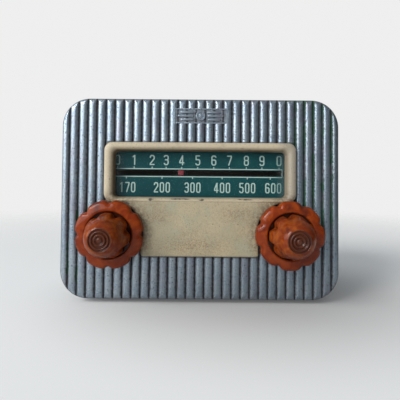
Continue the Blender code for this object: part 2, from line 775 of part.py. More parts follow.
def make_tuning_shaft(metal):
    """A long spindle whose rear end carries the barrel that the cord winds on."""
    barrel = SPINDLE_RADIUS - CORD_RADIUS - GAP
    profile = (
        (SHAFT_RADIUS, 0.0200), (SHAFT_RADIUS, -0.0172), (0.0068, -0.0172), (0.0068, -0.0178),
        (barrel, -0.0184), (barrel, -0.0236), (0.0068, -0.0242), (0.0068, -0.0248),
    )
    shaft = turned(tuple(reversed(profile)), count=20)
    part("tuning_shaft", shaft, metal, at_face(0.0, KNOB_X, KNOB_UP), FACING, True)


# Chassis


def make_chassis(finish):
    width = 2 * CHASSIS_HALF_WIDTH
    depth = CHASSIS_REAR_Y - CHASSIS_FRONT_Y
    wall = BACKPLATE_THICKNESS
    inner = rectangle(width - 2 * wall, depth - 2 * wall)
    outer = rectangle(width, depth)
    sections = [
        (inner, CHASSIS_TOP_Z - wall), (inner, CHASSIS_BOTTOM_Z),
        (outer, CHASSIS_BOTTOM_Z), (outer, CHASSIS_TOP_Z),
    ]
    place = (0.0, (CHASSIS_FRONT_Y + CHASSIS_REAR_Y) / 2, 0.0)
    part("chassis", solid(sections), finish, place)


def make_valves(glass_finish, socket_finish):
    socket = ((0.0062, 0.0), (0.0092, 0.0), (0.0092, 0.0040), (0.0062, 0.0040))
    bulb = (
        (0.0056, 0.0008), (0.0056, 0.0046), (0.0086, 0.0062), (0.0088, 0.0400),
        (0.0074, 0.0450), (0.0030, 0.0480), (0.0012, 0.0505),
    )
    for number, (x, y) in enumerate(VALVE_PLACES, 1):
        place = (x, y, CHASSIS_TOP_Z + GAP)
        part(f"valve_socket_{number}", turned(socket, True, 12), socket_finish, place, smooth=True)
        part(f"valve_{number}", turned(bulb, count=12), glass_finish, place, smooth=True)


def make_cans(finish):
    for number, (x, y) in enumerate(IF_CAN_PLACES, 1):
        can = blunt_box(0.0175, 0.0155, 0.042, 0.002, 0.0012)
        part(f"if_transformer_{number}", can, finish, (x, y, CHASSIS_TOP_Z + GAP))
    profile = ((0.0100, 0.0), (0.0100, 0.0370), (0.0090, 0.0385))
    place = (0.0530, 0.0120, CHASSIS_TOP_Z + GAP)
    part("smoothing_capacitor", turned(profile), finish, place, smooth=True)


def make_transformers(core_finish):
    mains = part(
        "mains_transformer", box((0.036, 0.022, 0.038), (0.0, 0.0, 0.019)), core_finish,
        (-0.064, 0.036, CHASSIS_TOP_Z + GAP),
    )
    winding = rounded_rectangle(0.024, 0.036, 0.006, 3)
    combine(mains, prism(winding, 0.008, 0.030), "UNION")
    output = part(
        "output_transformer", box((0.016, 0.028, 0.018), (0.0, 0.0, 0.009)), core_finish,
        (0.074, 0.030, CHASSIS_TOP_Z + GAP),
    )
    winding = rounded_rectangle(0.020, 0.018, 0.004, 3)
    combine(output, prism(winding, 0.003, 0.015), "UNION")


def make_speaker(basket_finish, cone_finish, magnet_finish):
    """A small loudspeaker firing out through the slots in the right-hand side."""
    place = (SPEAKER_FLANGE_X, SPEAKER_Y, SPEAKER_Z)
    basket = (
        (0.0095, -0.0200), (0.0095, -0.0210), (0.0170, -0.0210), (0.0288, -0.0010),
        (SPEAKER_RADIUS, -0.0010), (SPEAKER_RADIUS, 0.0014), (0.0285, 0.0014), (0.0285, 0.0),
        (0.0165, -0.0200),
    )
    part("speaker_frame", turned(basket, True, 24), basket_finish, place, SIDEWAYS, True)
    cone = (
        (0.0060, -0.0165), (0.0075, -0.0165), (0.0258, -0.0022), (0.0262, -0.0016),
        (0.0258, -0.0012), (0.0078, -0.0155), (0.0040, -0.0140),
    )
    part("speaker_cone", turned(cone, count=24), cone_finish, place, SIDEWAYS, True)
    magnet = ((0.0130, -0.0370), (0.0140, -0.0360), (0.0140, -0.0213))
    part("speaker_magnet", turned(magnet), magnet_finish, place, SIDEWAYS, True)


# Sockets on the back


def make_mains_inlet(finish):
    """A flanged inlet with two contact pins at the bottom of its well."""
    front = REAR_CASE_END_Y + GAP
    body = solid([
        (rectangle(0.024, 0.013), 0.0), (rectangle(0.024, 0.013), -(front - 0.0560)),
        (rectangle(0.030, 0.019), -(front - 0.0560)), (rectangle(0.030, 0.019), 0.0560 - REAR_MOST_Y),
    ])
    inlet = part("mains_inlet", body, finish, (INLET_X, 0.0560, SOCKET_Z), FACING)
    well = prism(rounded_rectangle(0.020, 0.0095, 0.002, 3), -0.0020, -0.0200)
    combine(inlet, well, "DIFFERENCE")
    pins = [prism(moved(circle(0.0012, 10), side * 0.0060, 0.0), -0.0010, -0.0080) for side in (-1, 1)]
    combine(inlet, gather(*pins), "UNION")


def make_aerial_terminals(finish):
    """A strip with one screw post for the aerial and one for the earth."""
    strip = prism(rounded_rectangle(0.034, 0.013, 0.002, 3), -GAP, -0.0014)
    place = (TERMINALS_X, REAR_CASE_END_Y, SOCKET_Z)
    terminals = part("aerial_terminals", strip, finish, place, FACING)
    height = REAR_MOST_Y - REAR_CASE_END_Y
    posts = []
    for side in (-1, 1):
        outline = moved(hexagon(0.0034), side * 0.0090, 0.0)
        posts.append(prism(outline, -0.0010, -height))
    combine(terminals, gather(*posts), "UNION")


def build():
    clear_scene()
    silver = material("ribbed_metal", (0.42, 0.46, 0.50), 0.38, 0.9)
    grey = material("case_metal", (0.30, 0.33, 0.36), 0.45, 0.8)
    board = material("pressed_board", (0.16, 0.11, 0.07), 0.8)
    cream = material("cream_paint", (0.60, 0.52, 0.38), 0.5)
    teal = material("dial_enamel", (0.01, 0.09, 0.10), 0.4)
    glass = material("glass", (0.80, 0.85, 0.85), 0.05)
    orange = material("orange_bakelite", (0.35, 0.06, 0.02), 0.35)
    brown = material("brown_bakelite", (0.28, 0.07, 0.02), 0.35)
    steel = material("plated_steel", (0.55, 0.54, 0.50), 0.35, 1.0)
    aluminium = material("aluminium", (0.70, 0.70, 0.72), 0.4, 1.0)
    red = material("red_paint", (0.50, 0.03, 0.04), 0.4)
    black = material("black_moulding", (0.03, 0.03, 0.03), 0.5)
    brass = material("brass", (0.60, 0.45, 0.18), 0.35, 1.0)
    cord = material("waxed_cord", (0.45, 0.38, 0.25), 0.9)
    paper = material("cone_paper", (0.08, 0.07, 0.06), 0.9)
    rubber = material("rubber", (0.03, 0.03, 0.03), 0.9)
    iron = material("lacquered_iron", (0.10, 0.09, 0.09), 0.5, 0.5)

    make_front_casing(silver)
    make_rear_case(grey)
    make_rear_cover(board)
    make_cover_screws(steel)
    make_feet(rubber)
    make_escutcheon(cream)
    make_dial(teal, glass)
    make_dial_lamp(glass, brass)
    make_dial_backplate(steel)
    make_pointer_carriage(black, red, steel)
    make_idler_pulleys(brass)
    make_drive_drum(aluminium)
    make_drive_cord(cord)
    make_tuning_capacitor(aluminium, steel, brass)
    make_outer_knob("tone_knob", -1, orange, 0.0)
    make_outer_knob("selector_knob", 1, orange, 22.5)
    make_inner_knob("volume_knob", -1, brown)
    make_inner_knob("tuning_knob", 1, brown)
    make_front_control("tone_control", -1, black)
    make_front_control("selector_switch", 1, black)
    make_control_nut("control_nut_left", -1, brass)
    make_control_nut("control_nut_right", 1, brass)
    make_sleeve("tone_sleeve", -1, brass)
    make_sleeve("selector_sleeve", 1, brass)
    make_volume_parts(steel, black)
    make_tuning_shaft(steel)
    make_chassis(steel)
    make_valves(glass, black)
    make_cans(aluminium)
    make_transformers(iron)
    make_speaker(steel, paper, iron)
    make_mains_inlet(black)
    make_aerial_terminals(brass)


build()
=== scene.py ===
"""The looks of a small mains valve radio with a ribbed metal front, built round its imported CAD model.

Lengths are millimetres, and become metres where a mesh, a place or a texture is made. The radio
stands on z = 0 and faces -Y. Its parts are drawn by (x, up, height): up from the middle of the
front, and height in front of the rib crests, so that all behind them has a negative height.
"""

import math

import bmesh
import bpy
from mathutils import Matrix, Vector
from mathutils.geometry import delaunay_2d_cdt


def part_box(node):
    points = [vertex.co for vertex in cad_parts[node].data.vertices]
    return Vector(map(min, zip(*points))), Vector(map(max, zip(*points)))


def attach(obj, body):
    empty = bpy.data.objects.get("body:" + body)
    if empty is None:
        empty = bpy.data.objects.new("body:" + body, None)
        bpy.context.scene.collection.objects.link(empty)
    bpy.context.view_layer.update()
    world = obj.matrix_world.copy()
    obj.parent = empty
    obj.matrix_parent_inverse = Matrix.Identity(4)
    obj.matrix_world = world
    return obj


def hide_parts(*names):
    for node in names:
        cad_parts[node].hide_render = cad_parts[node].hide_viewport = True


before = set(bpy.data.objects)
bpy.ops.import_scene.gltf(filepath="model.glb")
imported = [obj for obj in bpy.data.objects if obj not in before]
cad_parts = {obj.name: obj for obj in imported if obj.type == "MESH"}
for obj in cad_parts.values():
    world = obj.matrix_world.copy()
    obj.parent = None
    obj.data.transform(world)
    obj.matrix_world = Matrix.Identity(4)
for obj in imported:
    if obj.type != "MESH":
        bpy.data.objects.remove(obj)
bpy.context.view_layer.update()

MM = 0.001


# Where the CAD puts things


def box(node):
    """The lowest and the highest corner of a CAD node."""
    low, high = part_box(node)
    return low / MM, high / MM


def middle(node):
    low, high = box(node)
    return (low + high) / 2


CASE_LOW, CASE_HIGH = box("front_casing")
FACE_Y = CASE_LOW.y
FACE_Z = (CASE_LOW.z + CASE_HIGH.z) / 2
CASE_WIDTH = CASE_HIGH.x - CASE_LOW.x
CASE_HEIGHT = CASE_HIGH.z - CASE_LOW.z
CASING_DEPTH = CASE_HIGH.y - CASE_LOW.y
REAR_LOW, REAR_HIGH = box("rear_case")
FRAME_LOW, FRAME_HIGH = box("escutcheon")


def drawn(node):
    """The (x, up) of a CAD node's middle."""
    place = middle(node)
    return place.x, place.z - FACE_Z


def heights(node):
    """The heights of a CAD node's front and rear."""
    low, high = box(node)
    return FACE_Y - low.y, FACE_Y - high.y


def at(x, up, height=0):
    """The place in the world of a drawn point."""
    return x, FACE_Y - height, FACE_Z + up


KNOB_X, KNOB_UP = drawn("selector_knob")
KNOB_TOP = heights("volume_knob")[0]
SCREWS = [f"cover_screw_{number}" for number in range(1, 5)]
GAP = 0.3

# Case
CORNER_RADIUS = 19
CASTING_WALL = 2
FRONT_THICKNESS = 3.5
SHEET_WALL = 1.5
RIB_PITCH = 6.22
RIB_DEPTH = 1.75
RIB_POWER = 2.6
RIB_STEPS = 6
ROW_COUNT = 30
EDGE_INSET = 4.2
EDGE_DEPTH = 2.6
EDGE_STEPS = 11
NAMEPLATE_WIDTH = 36.4
NAMEPLATE_HEIGHT = 10.5
NAMEPLATE_UP = 57
NAMEPLATE_BORDER = 0.8
NAMEPLATE_SUNK = 0.45
BORDER_SLOPE = 0.05
BUSH_HOLE_RADIUS = 5.1
VENTS_EACH_SIDE = 7
VENT_FIRST_X = 24
VENT_PITCH = 7.5
VENT_SIZE = (3, 34)
VENT_Y = 32
SPEAKER_SLOTS = 9
SPEAKER_SLOT_PITCH = 5.8
SPEAKER_SLOT_WIDTH = 2.8
SPEAKER_GRILLE_RADIUS = 28
COVER_SLOTS = 12
COVER_SLOT_ROWS = (-13.5, 50)
COVER_SLOT_PITCH = 11
COVER_SLOT_SIZE = (4, 11)
SLOT_END_FLAT = 0.05

# Dial window: (half width, lower edge, upper edge)
WINDOW = (58.5, 1, 32.4)
SLEEVE = (60, -0.1, 34)
SLEEVE_DEPTH = 3.2

# Painted frame
FRAME_TOP = FRAME_HIGH.z - FACE_Z
FRAME_STEP = -2.8
FRAME_FOOT = FRAME_LOW.z - FACE_Z
FRAME_HALF_WIDTH = FRAME_HIGH.x
FOOT_HALF_WIDTH = 40
FOOT_CORNER = 2
CUTOUT_RADIUS = 21.5
FRAME_PROUD = 3
PLATE_PROUD = 2.6
PLATE_TOP = -0.6
PLATE_CROWN = 0.02

# Dial: a figure is (width, height, up), and the rest are places across
TOP_FIGURE = (3.5, 7.1, 26.6)
TOP_NUMBERS = "01234567890"
TOP_PLACES = (-57.9, -46.3, -33.7, -23.9, -13, -1.75, 9.5, 20.4, 32.3, 43.2, 55.2)
WAVE_FIGURE = (3.1, 7.2, 7.5)
WAVE_PITCH = 4.1
WAVE_NUMBERS = ("170", "200", "300", "400", "500", "600")
WAVE_PLACES = (-50.9, -26.7, -5.3, 15.4, 33, 51.2)
WAVE_TICKS = (-51.6, -26.7, -5.3, 15.4, 33, 49.1)
DIAL_LINES = (15.05, 20.45)
DIAL_LINE_END = 57.3
DIAL_LINE_WIDTH = 0.62
TICK_GAP = 0.15
TICK_LENGTH = 1.1
TICK_WIDTH = 0.6
FIGURE_STROKE = 0.82
FIGURE_CHAMFER = (0.24, 0.13)
POINTER_WIDTH = 4.2
POINTER_HEIGHT = 3.9

# Studio
AMBIENT_COLOUR = (0.84, 0.93, 1)
AMBIENT_STRENGTH = (0.03, 0.5)
AMBIENT_FROM = (-0.7, -0.35, 0.62)
BACKDROP_COLOUR = (0.86, 0.86, 0.86)
FLOOR_GLOW = 0.08
FLOOR_REACH = 900
CAMERA_PLACE = at(-0.1, 14.8, 278.1)
CAMERA_LENS = 36.5
CAMERA_SENSOR = 36
CAMERA_SHIFT_UP = -0.087
CAMERA_PITCH = math.radians(1.7)
CAMERA_ROLL = math.radians(-0.5)


# Outlines: lists of (x, y)


def arc(centre, radius, start, end, steps):
    """Points on an arc, its angles in degrees, both ends included."""
    points = []
    for i in range(steps + 1):
        angle = math.radians(start + (end - start) * i / steps)
        points.append((centre[0] + radius * math.cos(angle), centre[1] + radius * math.sin(angle)))
    return points


def circle(radius, count=64):
    return arc((0, 0), radius, 0, 360 * (count - 1) / count, count - 1)


def lobed(radius, notches, depth, power, phase, count=240):
    """A circle with rounded notches; phase turns the first notch from +X, in degrees."""
    outline = []
    for i in range(count):
        angle = 2 * math.pi * i / count
        notch = ((1 + math.cos(notches * (angle - math.radians(phase)))) / 2) ** power
        reach = radius - depth * notch
        outline.append((reach * math.cos(angle), reach * math.sin(angle)))
    return outline


def moved(outline, across, up):
    return [(x + across, y + up) for x, y in outline]


def between(first, second, share):
    """The outline part of the way from one outline to another with as many points."""
    return [(a[0] + (b[0] - a[0]) * share, a[1] + (b[1] - a[1]) * share) for a, b in zip(first, second)]


def spread(start, end, count):
    """Points between two corners, both left out."""
    return [between([start], [end], i / count)[0] for i in range(1, count)]


def rounded_box(left, right, low, high, radii, steps=12, straight=6):
    """A rounded rectangle from its top right corner, anticlockwise; radii go the same way."""
    corners = (
        (right - radii[0], high - radii[0]), (left + radii[1], high - radii[1]),
        (left + radii[2], low + radii[2]), (right - radii[3], low + radii[3]),
    )
    outline = []
    for turn, (centre, radius) in enumerate(zip(corners, radii)):
        stretch = arc(centre, radius, 90 * turn, 90 * turn + 90, steps)
        if outline:
            outline += spread(outline[-1], stretch[0], straight)
        outline += stretch
    return outline + spread(outline[-1], outline[0], straight)


def centred_box(width, height, radius, steps=12, straight=1):
    return rounded_box(-width / 2, width / 2, -height / 2, height / 2, (radius,) * 4, steps, straight)


def slot_outline(width, height, across, up):
    """A slot with round ends."""
    radius = min(width, height) / 2 - SLOT_END_FLAT
    return moved(centred_box(width, height, radius, 8), across, up)


def row(count, pitch):
    """Places at one pitch, centred on nought."""
    return [(i - (count - 1) / 2) * pitch for i in range(count)]


def window_outline(spans, radius, margin=0):
    half_width, low, high = spans
    across = half_width + margin
    return rounded_box(-across, across, low - margin, high + margin, (radius,) * 4, 10)


def stroke(points, width, joint_sides=10):
    """Polygons that together cover a line of some width, with round ends and joints."""
    polygons = [moved(circle(width / 2, joint_sides), *point) for point in points]
    for (ax, ay), (bx, by) in zip(points, points[1:]):
        length = math.hypot(bx - ax, by - ay)
        sx = -(by - ay) / length * width / 2
        sy = (bx - ax) / length * width / 2
        polygons.append([(ax - sx, ay - sy), (bx - sx, by - sy), (bx + sx, by + sy), (ax + sx, ay + sy)])
    return polygons


# Solids: sections are pairs of an outline and a height, profiles are pairs of numbers


def quarter(low, high, inset, steps=6):
    """(inset, height) pairs up a rounded edge, from its wall to its flat top."""
    points = []
    for i in range(steps + 1):
        angle = math.pi / 2 * i / steps
        points.append((inset * (1 - math.cos(angle)), low + (high - low) * math.sin(angle)))
    return points


def narrowed(width, height, radius, profile, steps=12, straight=1):
    """Sections of a rounded box, drawn in by each (inset, height) of a profile."""
    return [
        (centred_box(width - 2 * inset, height - 2 * inset, radius - inset, steps, straight), level)
        for inset, level in profile
    ]


def case_sections(profile):
    """Sections of the case's outline, drawn in by each (inset, height) of a profile."""
    return narrowed(CASE_WIDTH, CASE_HEIGHT, CORNER_RADIUS, profile, 20)


def vertex(mesh, x, y, height):
    return mesh.verts.new((x * MM, y * MM, height * MM))


def skin(mesh, lower, upper):
    """Faces between two closed rows of vertices."""
    for i in range(len(lower)):
        j = (i + 1) % len(lower)
        mesh.faces.new((lower[i], lower[j], upper[j], upper[i]))


def loft(sections, ring=False):
    """Skin a list of sections as a mesh; a ring joins its last section to its first."""
    mesh = bmesh.new()
    rows = [[vertex(mesh, x, y, height) for x, y in outline] for outline, height in sections]
    for lower, upper in zip(rows, rows[1:]):
        skin(mesh, lower, upper)
    if ring:
        skin(mesh, rows[-1], rows[0])
    else:
        mesh.faces.new(rows[0][::-1])
        mesh.faces.new(rows[-1])
    return mesh


def prism(outline, low, high):
    return loft([(outline, low), (outline, high)])


def turned(profile, count=48, across=0):
    """A solid of revolution from (radius, height) pairs."""
    return loft([(moved(circle(radius, count), across, 0), height) for radius, height in profile])


def gather(meshes):
    """Several separate solids in one mesh."""
    whole = bmesh.new()
    for mesh in meshes:
        data = bpy.data.meshes.new("gathered")
        mesh.to_mesh(data)
        mesh.free()
        whole.from_mesh(data)
        bpy.data.meshes.remove(data)
    return whole


def flat_union(polygons, low, high):
    """One thin solid that covers all the polygons, which may overlap."""
    points = []
    faces = []
    for polygon in polygons:
        faces.append(list(range(len(points), len(points) + len(polygon))))
        points += [Vector(point) for point in polygon]
    found, _, triangles, _, _, sources = delaunay_2d_cdt(points, [], faces, 1, 1e-4)
    mesh = bmesh.new()
    bottom = [vertex(mesh, p.x, p.y, low) for p in found]
    top = [vertex(mesh, p.x, p.y, high) for p in found]
    directed = set()
    for (a, b, c), source in zip(triangles, sources):
        if source:
            mesh.faces.new((top[a], top[b], top[c]))
            mesh.faces.new((bottom[c], bottom[b], bottom[a]))
            directed |= {(a, b), (b, c), (c, a)}
    for a, b in directed:
        if (b, a) not in directed:
            mesh.faces.new((bottom[a], bottom[b], top[b], top[a]))
    bmesh.ops.delete(mesh, geom=[v for v in mesh.verts if not v.link_faces], context="VERTS")
    return mesh


# Objects


def placed(x, y, z=0):
    return Matrix.Translation((x * MM, y * MM, z * MM))


def facing(x=0, up=0):
    """Turns a mesh drawn as (x, up, height) to the front of the radio."""
    return placed(*at(x, up)) @ Matrix.Rotation(math.pi / 2, 4, "X")


def new_object(name, mesh, place):
    """An object at the origin whose vertices hold its place."""
    mesh.transform(place)
    bmesh.ops.recalc_face_normals(mesh, faces=mesh.faces)
    data = bpy.data.meshes.new(name)
    mesh.to_mesh(data)
    mesh.free()
    obj = bpy.data.objects.new(name, data)
    bpy.context.scene.collection.objects.link(obj)
    return obj


def combine(obj, mesh, operation, place):
    """Cut a mesh out of an object, or join it on, for good."""
    tool = new_object("tool", mesh, place)
    modifier = obj.modifiers.new("combine", "BOOLEAN")
    modifier.operation = operation
    modifier.solver = "EXACT"
    modifier.object = tool
    bpy.context.view_layer.update()
    evaluated = obj.evaluated_get(bpy.context.evaluated_depsgraph_get())
    result = bpy.data.meshes.new_from_object(evaluated)
    obj.modifiers.clear()
    old = obj.data
    obj.data = result
    result.name = obj.name
    bpy.data.meshes.remove(old)
    bpy.data.objects.remove(tool)


def cut(obj, mesh, place):
    combine(obj, mesh, "DIFFERENCE", place)


def piece(obj, material, replaces=(), body="radio", smooth_angle=38):
    """Finish an object: its material, its shading, the body it rides on and what it stands for."""
    obj.data.materials.clear()
    obj.data.materials.append(material)
    obj.data.polygons.foreach_set("material_index", [0] * len(obj.data.polygons))
    obj.data.shade_smooth()
    obj.data.set_sharp_from_angle(angle=math.radians(smooth_angle))
    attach(obj, body)
    if replaces:
        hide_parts(*replaces)


# Materials


def wire(tree, kind, inputs, output=0, **settings):
    """Add a shader node, fill or link its inputs and return one of its outputs."""
    node = tree.nodes.new("ShaderNode" + kind)
    for key, value in settings.items():
        setattr(node, key, value)
    for name, value in inputs.items():
        fill(tree, node.inputs[name], value)
    return node.outputs[output]


def fill(tree, socket, value):
    """Give an input a number, a colour, a vector, a node output or a field."""
    if isinstance(value, Field):
        value = value.socket
    if isinstance(value, bpy.types.NodeSocket):
        tree.links.new(value, socket)
    elif isinstance(value, tuple):
        socket.default_value = (*value, 1)[:len(socket.default_value)]
    else:
        socket.default_value = value


class Field:
    """A value that varies over a surface, and that can be reckoned with like a number."""

    def __init__(self, finish, socket):
        self.finish = finish
        self.socket = socket

    def __add__(self, other):
        return self.finish.math("ADD", self, other)

    def __sub__(self, other):
        return self.finish.math("SUBTRACT", self, other)

    def __rsub__(self, other):
        return self.finish.math("SUBTRACT", other, self)

    def __mul__(self, other):
        return self.finish.math("MULTIPLY", self, other)

    def __pow__(self, other):
        return self.finish.math("POWER", self, other)

    def __abs__(self):
        return self.finish.math("ABSOLUTE", self)

    def step(self, low, high, start=0, end=1):
        """Rises smoothly from start to end as the value goes from low to high."""
        inputs = {"Value": self, "From Min": low, "From Max": high, "To Min": start, "To Max": end}
        return self.finish.node("MapRange", inputs, interpolation_type="SMOOTHSTEP")


class Finish:
    """A material under construction, with its places on the front as fields."""

    def __init__(self, name, **shader_values):
        self.material = bpy.data.materials.new(name)
        self.material.use_nodes = True
        self.tree = self.material.node_tree
        self.shader = self.tree.nodes["Principled BSDF"]
        self.place = self.node("TexCoord", {}, "Object")
        self.x = self.axis("X", 0)
        self.up = self.axis("Z", FACE_Z)
        self.depth = self.axis("Y", FACE_Y)
        self.colour = None
        self.relief = None
        for socket, value in shader_values.items():
            self.set(socket.replace("_", " "), value)

    def done(self):
        self.set("Base Color", self.colour)
        return self.material

    def set(self, name, value):
        fill(self.tree, self.shader.inputs[name], value)

    def node(self, kind, inputs, output=0, **settings):
        return Field(self, wire(self.tree, kind, inputs, output, **settings))

    def math(self, operation, first, second=0):
        return self.node("Math", {0: first, 1: second}, operation=operation)

    def axis(self, name, zero):
        """Millimetres along an axis of the world, counted from zero."""
        return self.node("SeparateXYZ", {0: self.place}, name) * (1 / MM) - zero

    def scaled(self, stretch, shift):
        return self.node("Mapping", {"Vector": self.place, "Scale": stretch, "Location": shift})

    def noise(self, grain, detail=4, roughness=0.6, stretch=(1, 1, 1), shift=(0, 0, 0), distortion=0):
        """Smooth noise whose features are about grain across."""
        vector = self.scaled(stretch, tuple(value * MM for value in shift))
        inputs = {
            "Vector": vector, "Scale": 1 / (grain * MM), "Detail": detail, "Roughness": roughness,
            "Distortion": distortion,
        }
        return self.node("TexNoise", inputs)

    def cells(self, grain, feature="F1"):
        """Distance to the nearest of some scattered points, in units of their spacing."""
        return self.node("TexVoronoi", {"Vector": self.place, "Scale": 1 / (grain * MM)}, feature=feature)

    def mix(self, share, first, second):
        return self.node("Mix", {0: share, 6: first, 7: second}, 2, data_type="RGBA")

    def paint(self, share, colour):
        """Lay a colour over the base colour, as far as share says."""
        self.colour = self.mix(share, self.colour, colour)

    def either(self, *masks):
        """The largest of several masks."""
        result = masks[0]
        for mask in masks[1:]:
            result = self.math("MAXIMUM", result, mask)
        return result

    def near(self, centre, radii, softness=0.5):
        """One inside an ellipsoid round a place in the world, fading to zero at its edge."""
        stretch = tuple(1 / (radius * MM) for radius in radii)
        shift = tuple(-c / radius for c, radius in zip(centre, radii))
        length = self.node("VectorMath", {0: self.scaled(stretch, shift)}, "Value", operation="LENGTH")
        return length.step(1 - softness, 1, 1, 0)

    def near_knobs(self, radius, reach, softness, height=0):
        """One round both knobs' axes, as far as a reach before and behind some height."""
        places = [at(side * KNOB_X, KNOB_UP, height) for side in (-1, 1)]
        return self.either(*[self.near(place, (radius, reach, radius), softness) for place in places])

    def inside(self, half_width, low, high, sides, foot, top):
        """One inside a box on the front; its mask ends between two margins at each edge."""
        across = abs(self.x).step(half_width + sides[0], half_width + sides[1])
        above = self.up.step(low - foot[0], low - foot[1])
        return across * above * self.up.step(high + top[0], high + top[1])

    def bump(self, height, depth, strength):
        """Relief of some depth; calls add up."""
        inputs = {"Strength": strength, "Distance": depth * MM, "Height": height}
        if self.relief:
            inputs["Normal"] = self.relief
        self.relief = self.node("Bump", inputs)
        self.set("Normal", self.relief)


def ribbed_metal():
    """Cast metal gone blue-grey, pitted, with dark grime and some verdigris in its grooves; painted shade
    makes it darker towards the lower right, on the groove floors and the rolled edge, along the cream frame's
    outline and under the knobs' discs.
    """
    f = Finish("ribbed_metal")
    ragged = f.noise(1.8, 6, 0.75)
    across = f.math("PINGPONG", f.x, RIB_PITCH / 2) * (2 / RIB_PITCH)
    flank = across + (ragged - 0.5) * 0.85
    in_groove = flank.step(0.52, 0.8) * f.depth.step(0.1, 0.45)
    grain = f.noise(0.9, 5, 0.75)
    clean = f.mix(f.noise(14, 3).step(0.35, 0.65), (0.25, 0.31, 0.37), (0.33, 0.38, 0.42))
    clean = f.mix(grain.step(0.45, 0.75), clean, (0.5, 0.56, 0.6))
    mauve = f.noise(7, 3, 0.6, (1, 1, 0.3)).step(0.52, 0.66, 0, 0.5)
    clean = f.mix(mauve, clean, (0.27, 0.25, 0.31))
    # Painted shade: the metal darker towards the lower right, away from the light.
    shaded_lower_right = (f.x - f.up * 1.3).step(-50, 140, 0, 0.5)
    clean = f.mix(shaded_lower_right, clean, (0.1, 0.13, 0.155))
    pits = f.noise(1.1, 6, 0.85).step(0.555, 0.64)
    specks = f.cells(2.2).step(0.26, 0.12) * f.noise(9, 2).step(0.4, 0.52)
    dull = f.either(pits, specks)
    worn = f.mix(dull * 0.75, clean, (0.04, 0.048, 0.058))
    grime = f.mix(flank.step(0.72, 0.98), (0.105, 0.115, 0.13), (0.012, 0.014, 0.018))
    grime = f.mix(f.noise(5).step(0.52, 0.66, 0, 0.6), grime, (0.05, 0.038, 0.036))
    patchy = f.noise(6, 3, 0.6, (1, 1, 0.35))
    green_right = f.x.step(50, 72) * patchy.step(0.44, 0.54) * f.up.step(-34, -12)
    green_left = f.x.step(-70, -80) * patchy.step(0.55, 0.62) * f.up.step(0, -8)
    grime = f.mix(f.either(green_right, green_left), grime, (0.008, 0.045, 0.018))
    # Painted shade on the deepest metal: the groove floors and the rolled edge's outer slope.
    outline = f.depth.step(0.75, 1.25) * f.depth.step(2.9, 2.2)
    frame_top = (1.3, 0.5)
    half_name = NAMEPLATE_HEIGHT / 2
    name_rim = (0.15, -0.15)
    name_field = f.inside(
        NAMEPLATE_WIDTH / 2, NAMEPLATE_UP - half_name, NAMEPLATE_UP + half_name, (0, -0.3), name_rim, name_rim
    )
    # Grime in the grooves and the nameplate's field, with a painted shadow along the cream frame's outline
    # and painted shade under the knobs' discs.
    grime_and_shade = f.either(
        in_groove,
        outline * 0.85,
        f.inside(FRAME_HALF_WIDTH, FRAME_STEP, FRAME_TOP, (1.1, 0.4), (1.1, 0.4), frame_top),
        f.inside(FOOT_HALF_WIDTH, FRAME_FOOT, FRAME_TOP, (1.6, 0.8), (1.7, 0.6), frame_top),
        f.near_knobs(23, 9, 0.06),
        name_field * f.depth.step(0.12, 0.3) * ragged.step(0.34, 0.52, 0.15, 0.75),
    )
    f.colour = f.mix(grime_and_shade, worn, grime)
    f.set("Metallic", f.either(grime_and_shade, dull * 0.6).step(0, 1, 0.95, 0.1))
    f.set("Roughness", grain.step(0.3, 0.8, 0.27, 0.42) + f.either(grime_and_shade, dull) * 0.4)
    f.bump(grain, 0.1, 0.6)
    f.bump(f.noise(2.4, 3), 0.2, 0.6)
    f.bump(1 - dull, 0.12, 0.6)
    return f.done()


def hammered_metal():
    """Grey stove enamel on sheet metal, with the shallow dimples of a hammer finish."""
    f = Finish("case_metal", Metallic=0.55)
    dimples = f.cells(2.2, "SMOOTH_F1")
    cloud = f.noise(20)
    f.colour = f.mix(dimples.step(0.1, 0.7), (0.2, 0.225, 0.25), (0.12, 0.135, 0.155))
    f.paint(cloud.step(0.4, 0.7), (0.16, 0.17, 0.18))
    rubbed = f.noise(1.6, 6, 0.8).step(0.64, 0.72) * cloud.step(0.35, 0.6)
    f.paint(rubbed, (0.42, 0.43, 0.44))
    f.set("Roughness", f.noise(5).step(0.3, 0.7, 0.32, 0.5))
    f.bump(dimples, 0.18, 0.7)
    f.bump(1 - rubbed, 0.04, 0.5)
    return f.done()


def pressed_board():
    """Brown hardboard: matted fibres and faint press marks."""
    f = Finish("pressed_board")
    crossed = f.noise(1, 6, 0.75, (3.5, 1, 1), (4000, 0, 0))
    mat = (f.noise(1, 6, 0.75, (1, 1, 3.5)) + crossed) * 0.5
    f.colour = f.mix(mat.step(0.35, 0.65), (0.085, 0.05, 0.028), (0.2, 0.13, 0.075))
    f.paint(f.noise(25, 3).step(0.45, 0.7), (0.1, 0.065, 0.04))
    f.set("Roughness", mat.step(0.3, 0.7, 0.65, 0.9))
    f.bump(mat, 0.15, 0.6)
    return f.done()


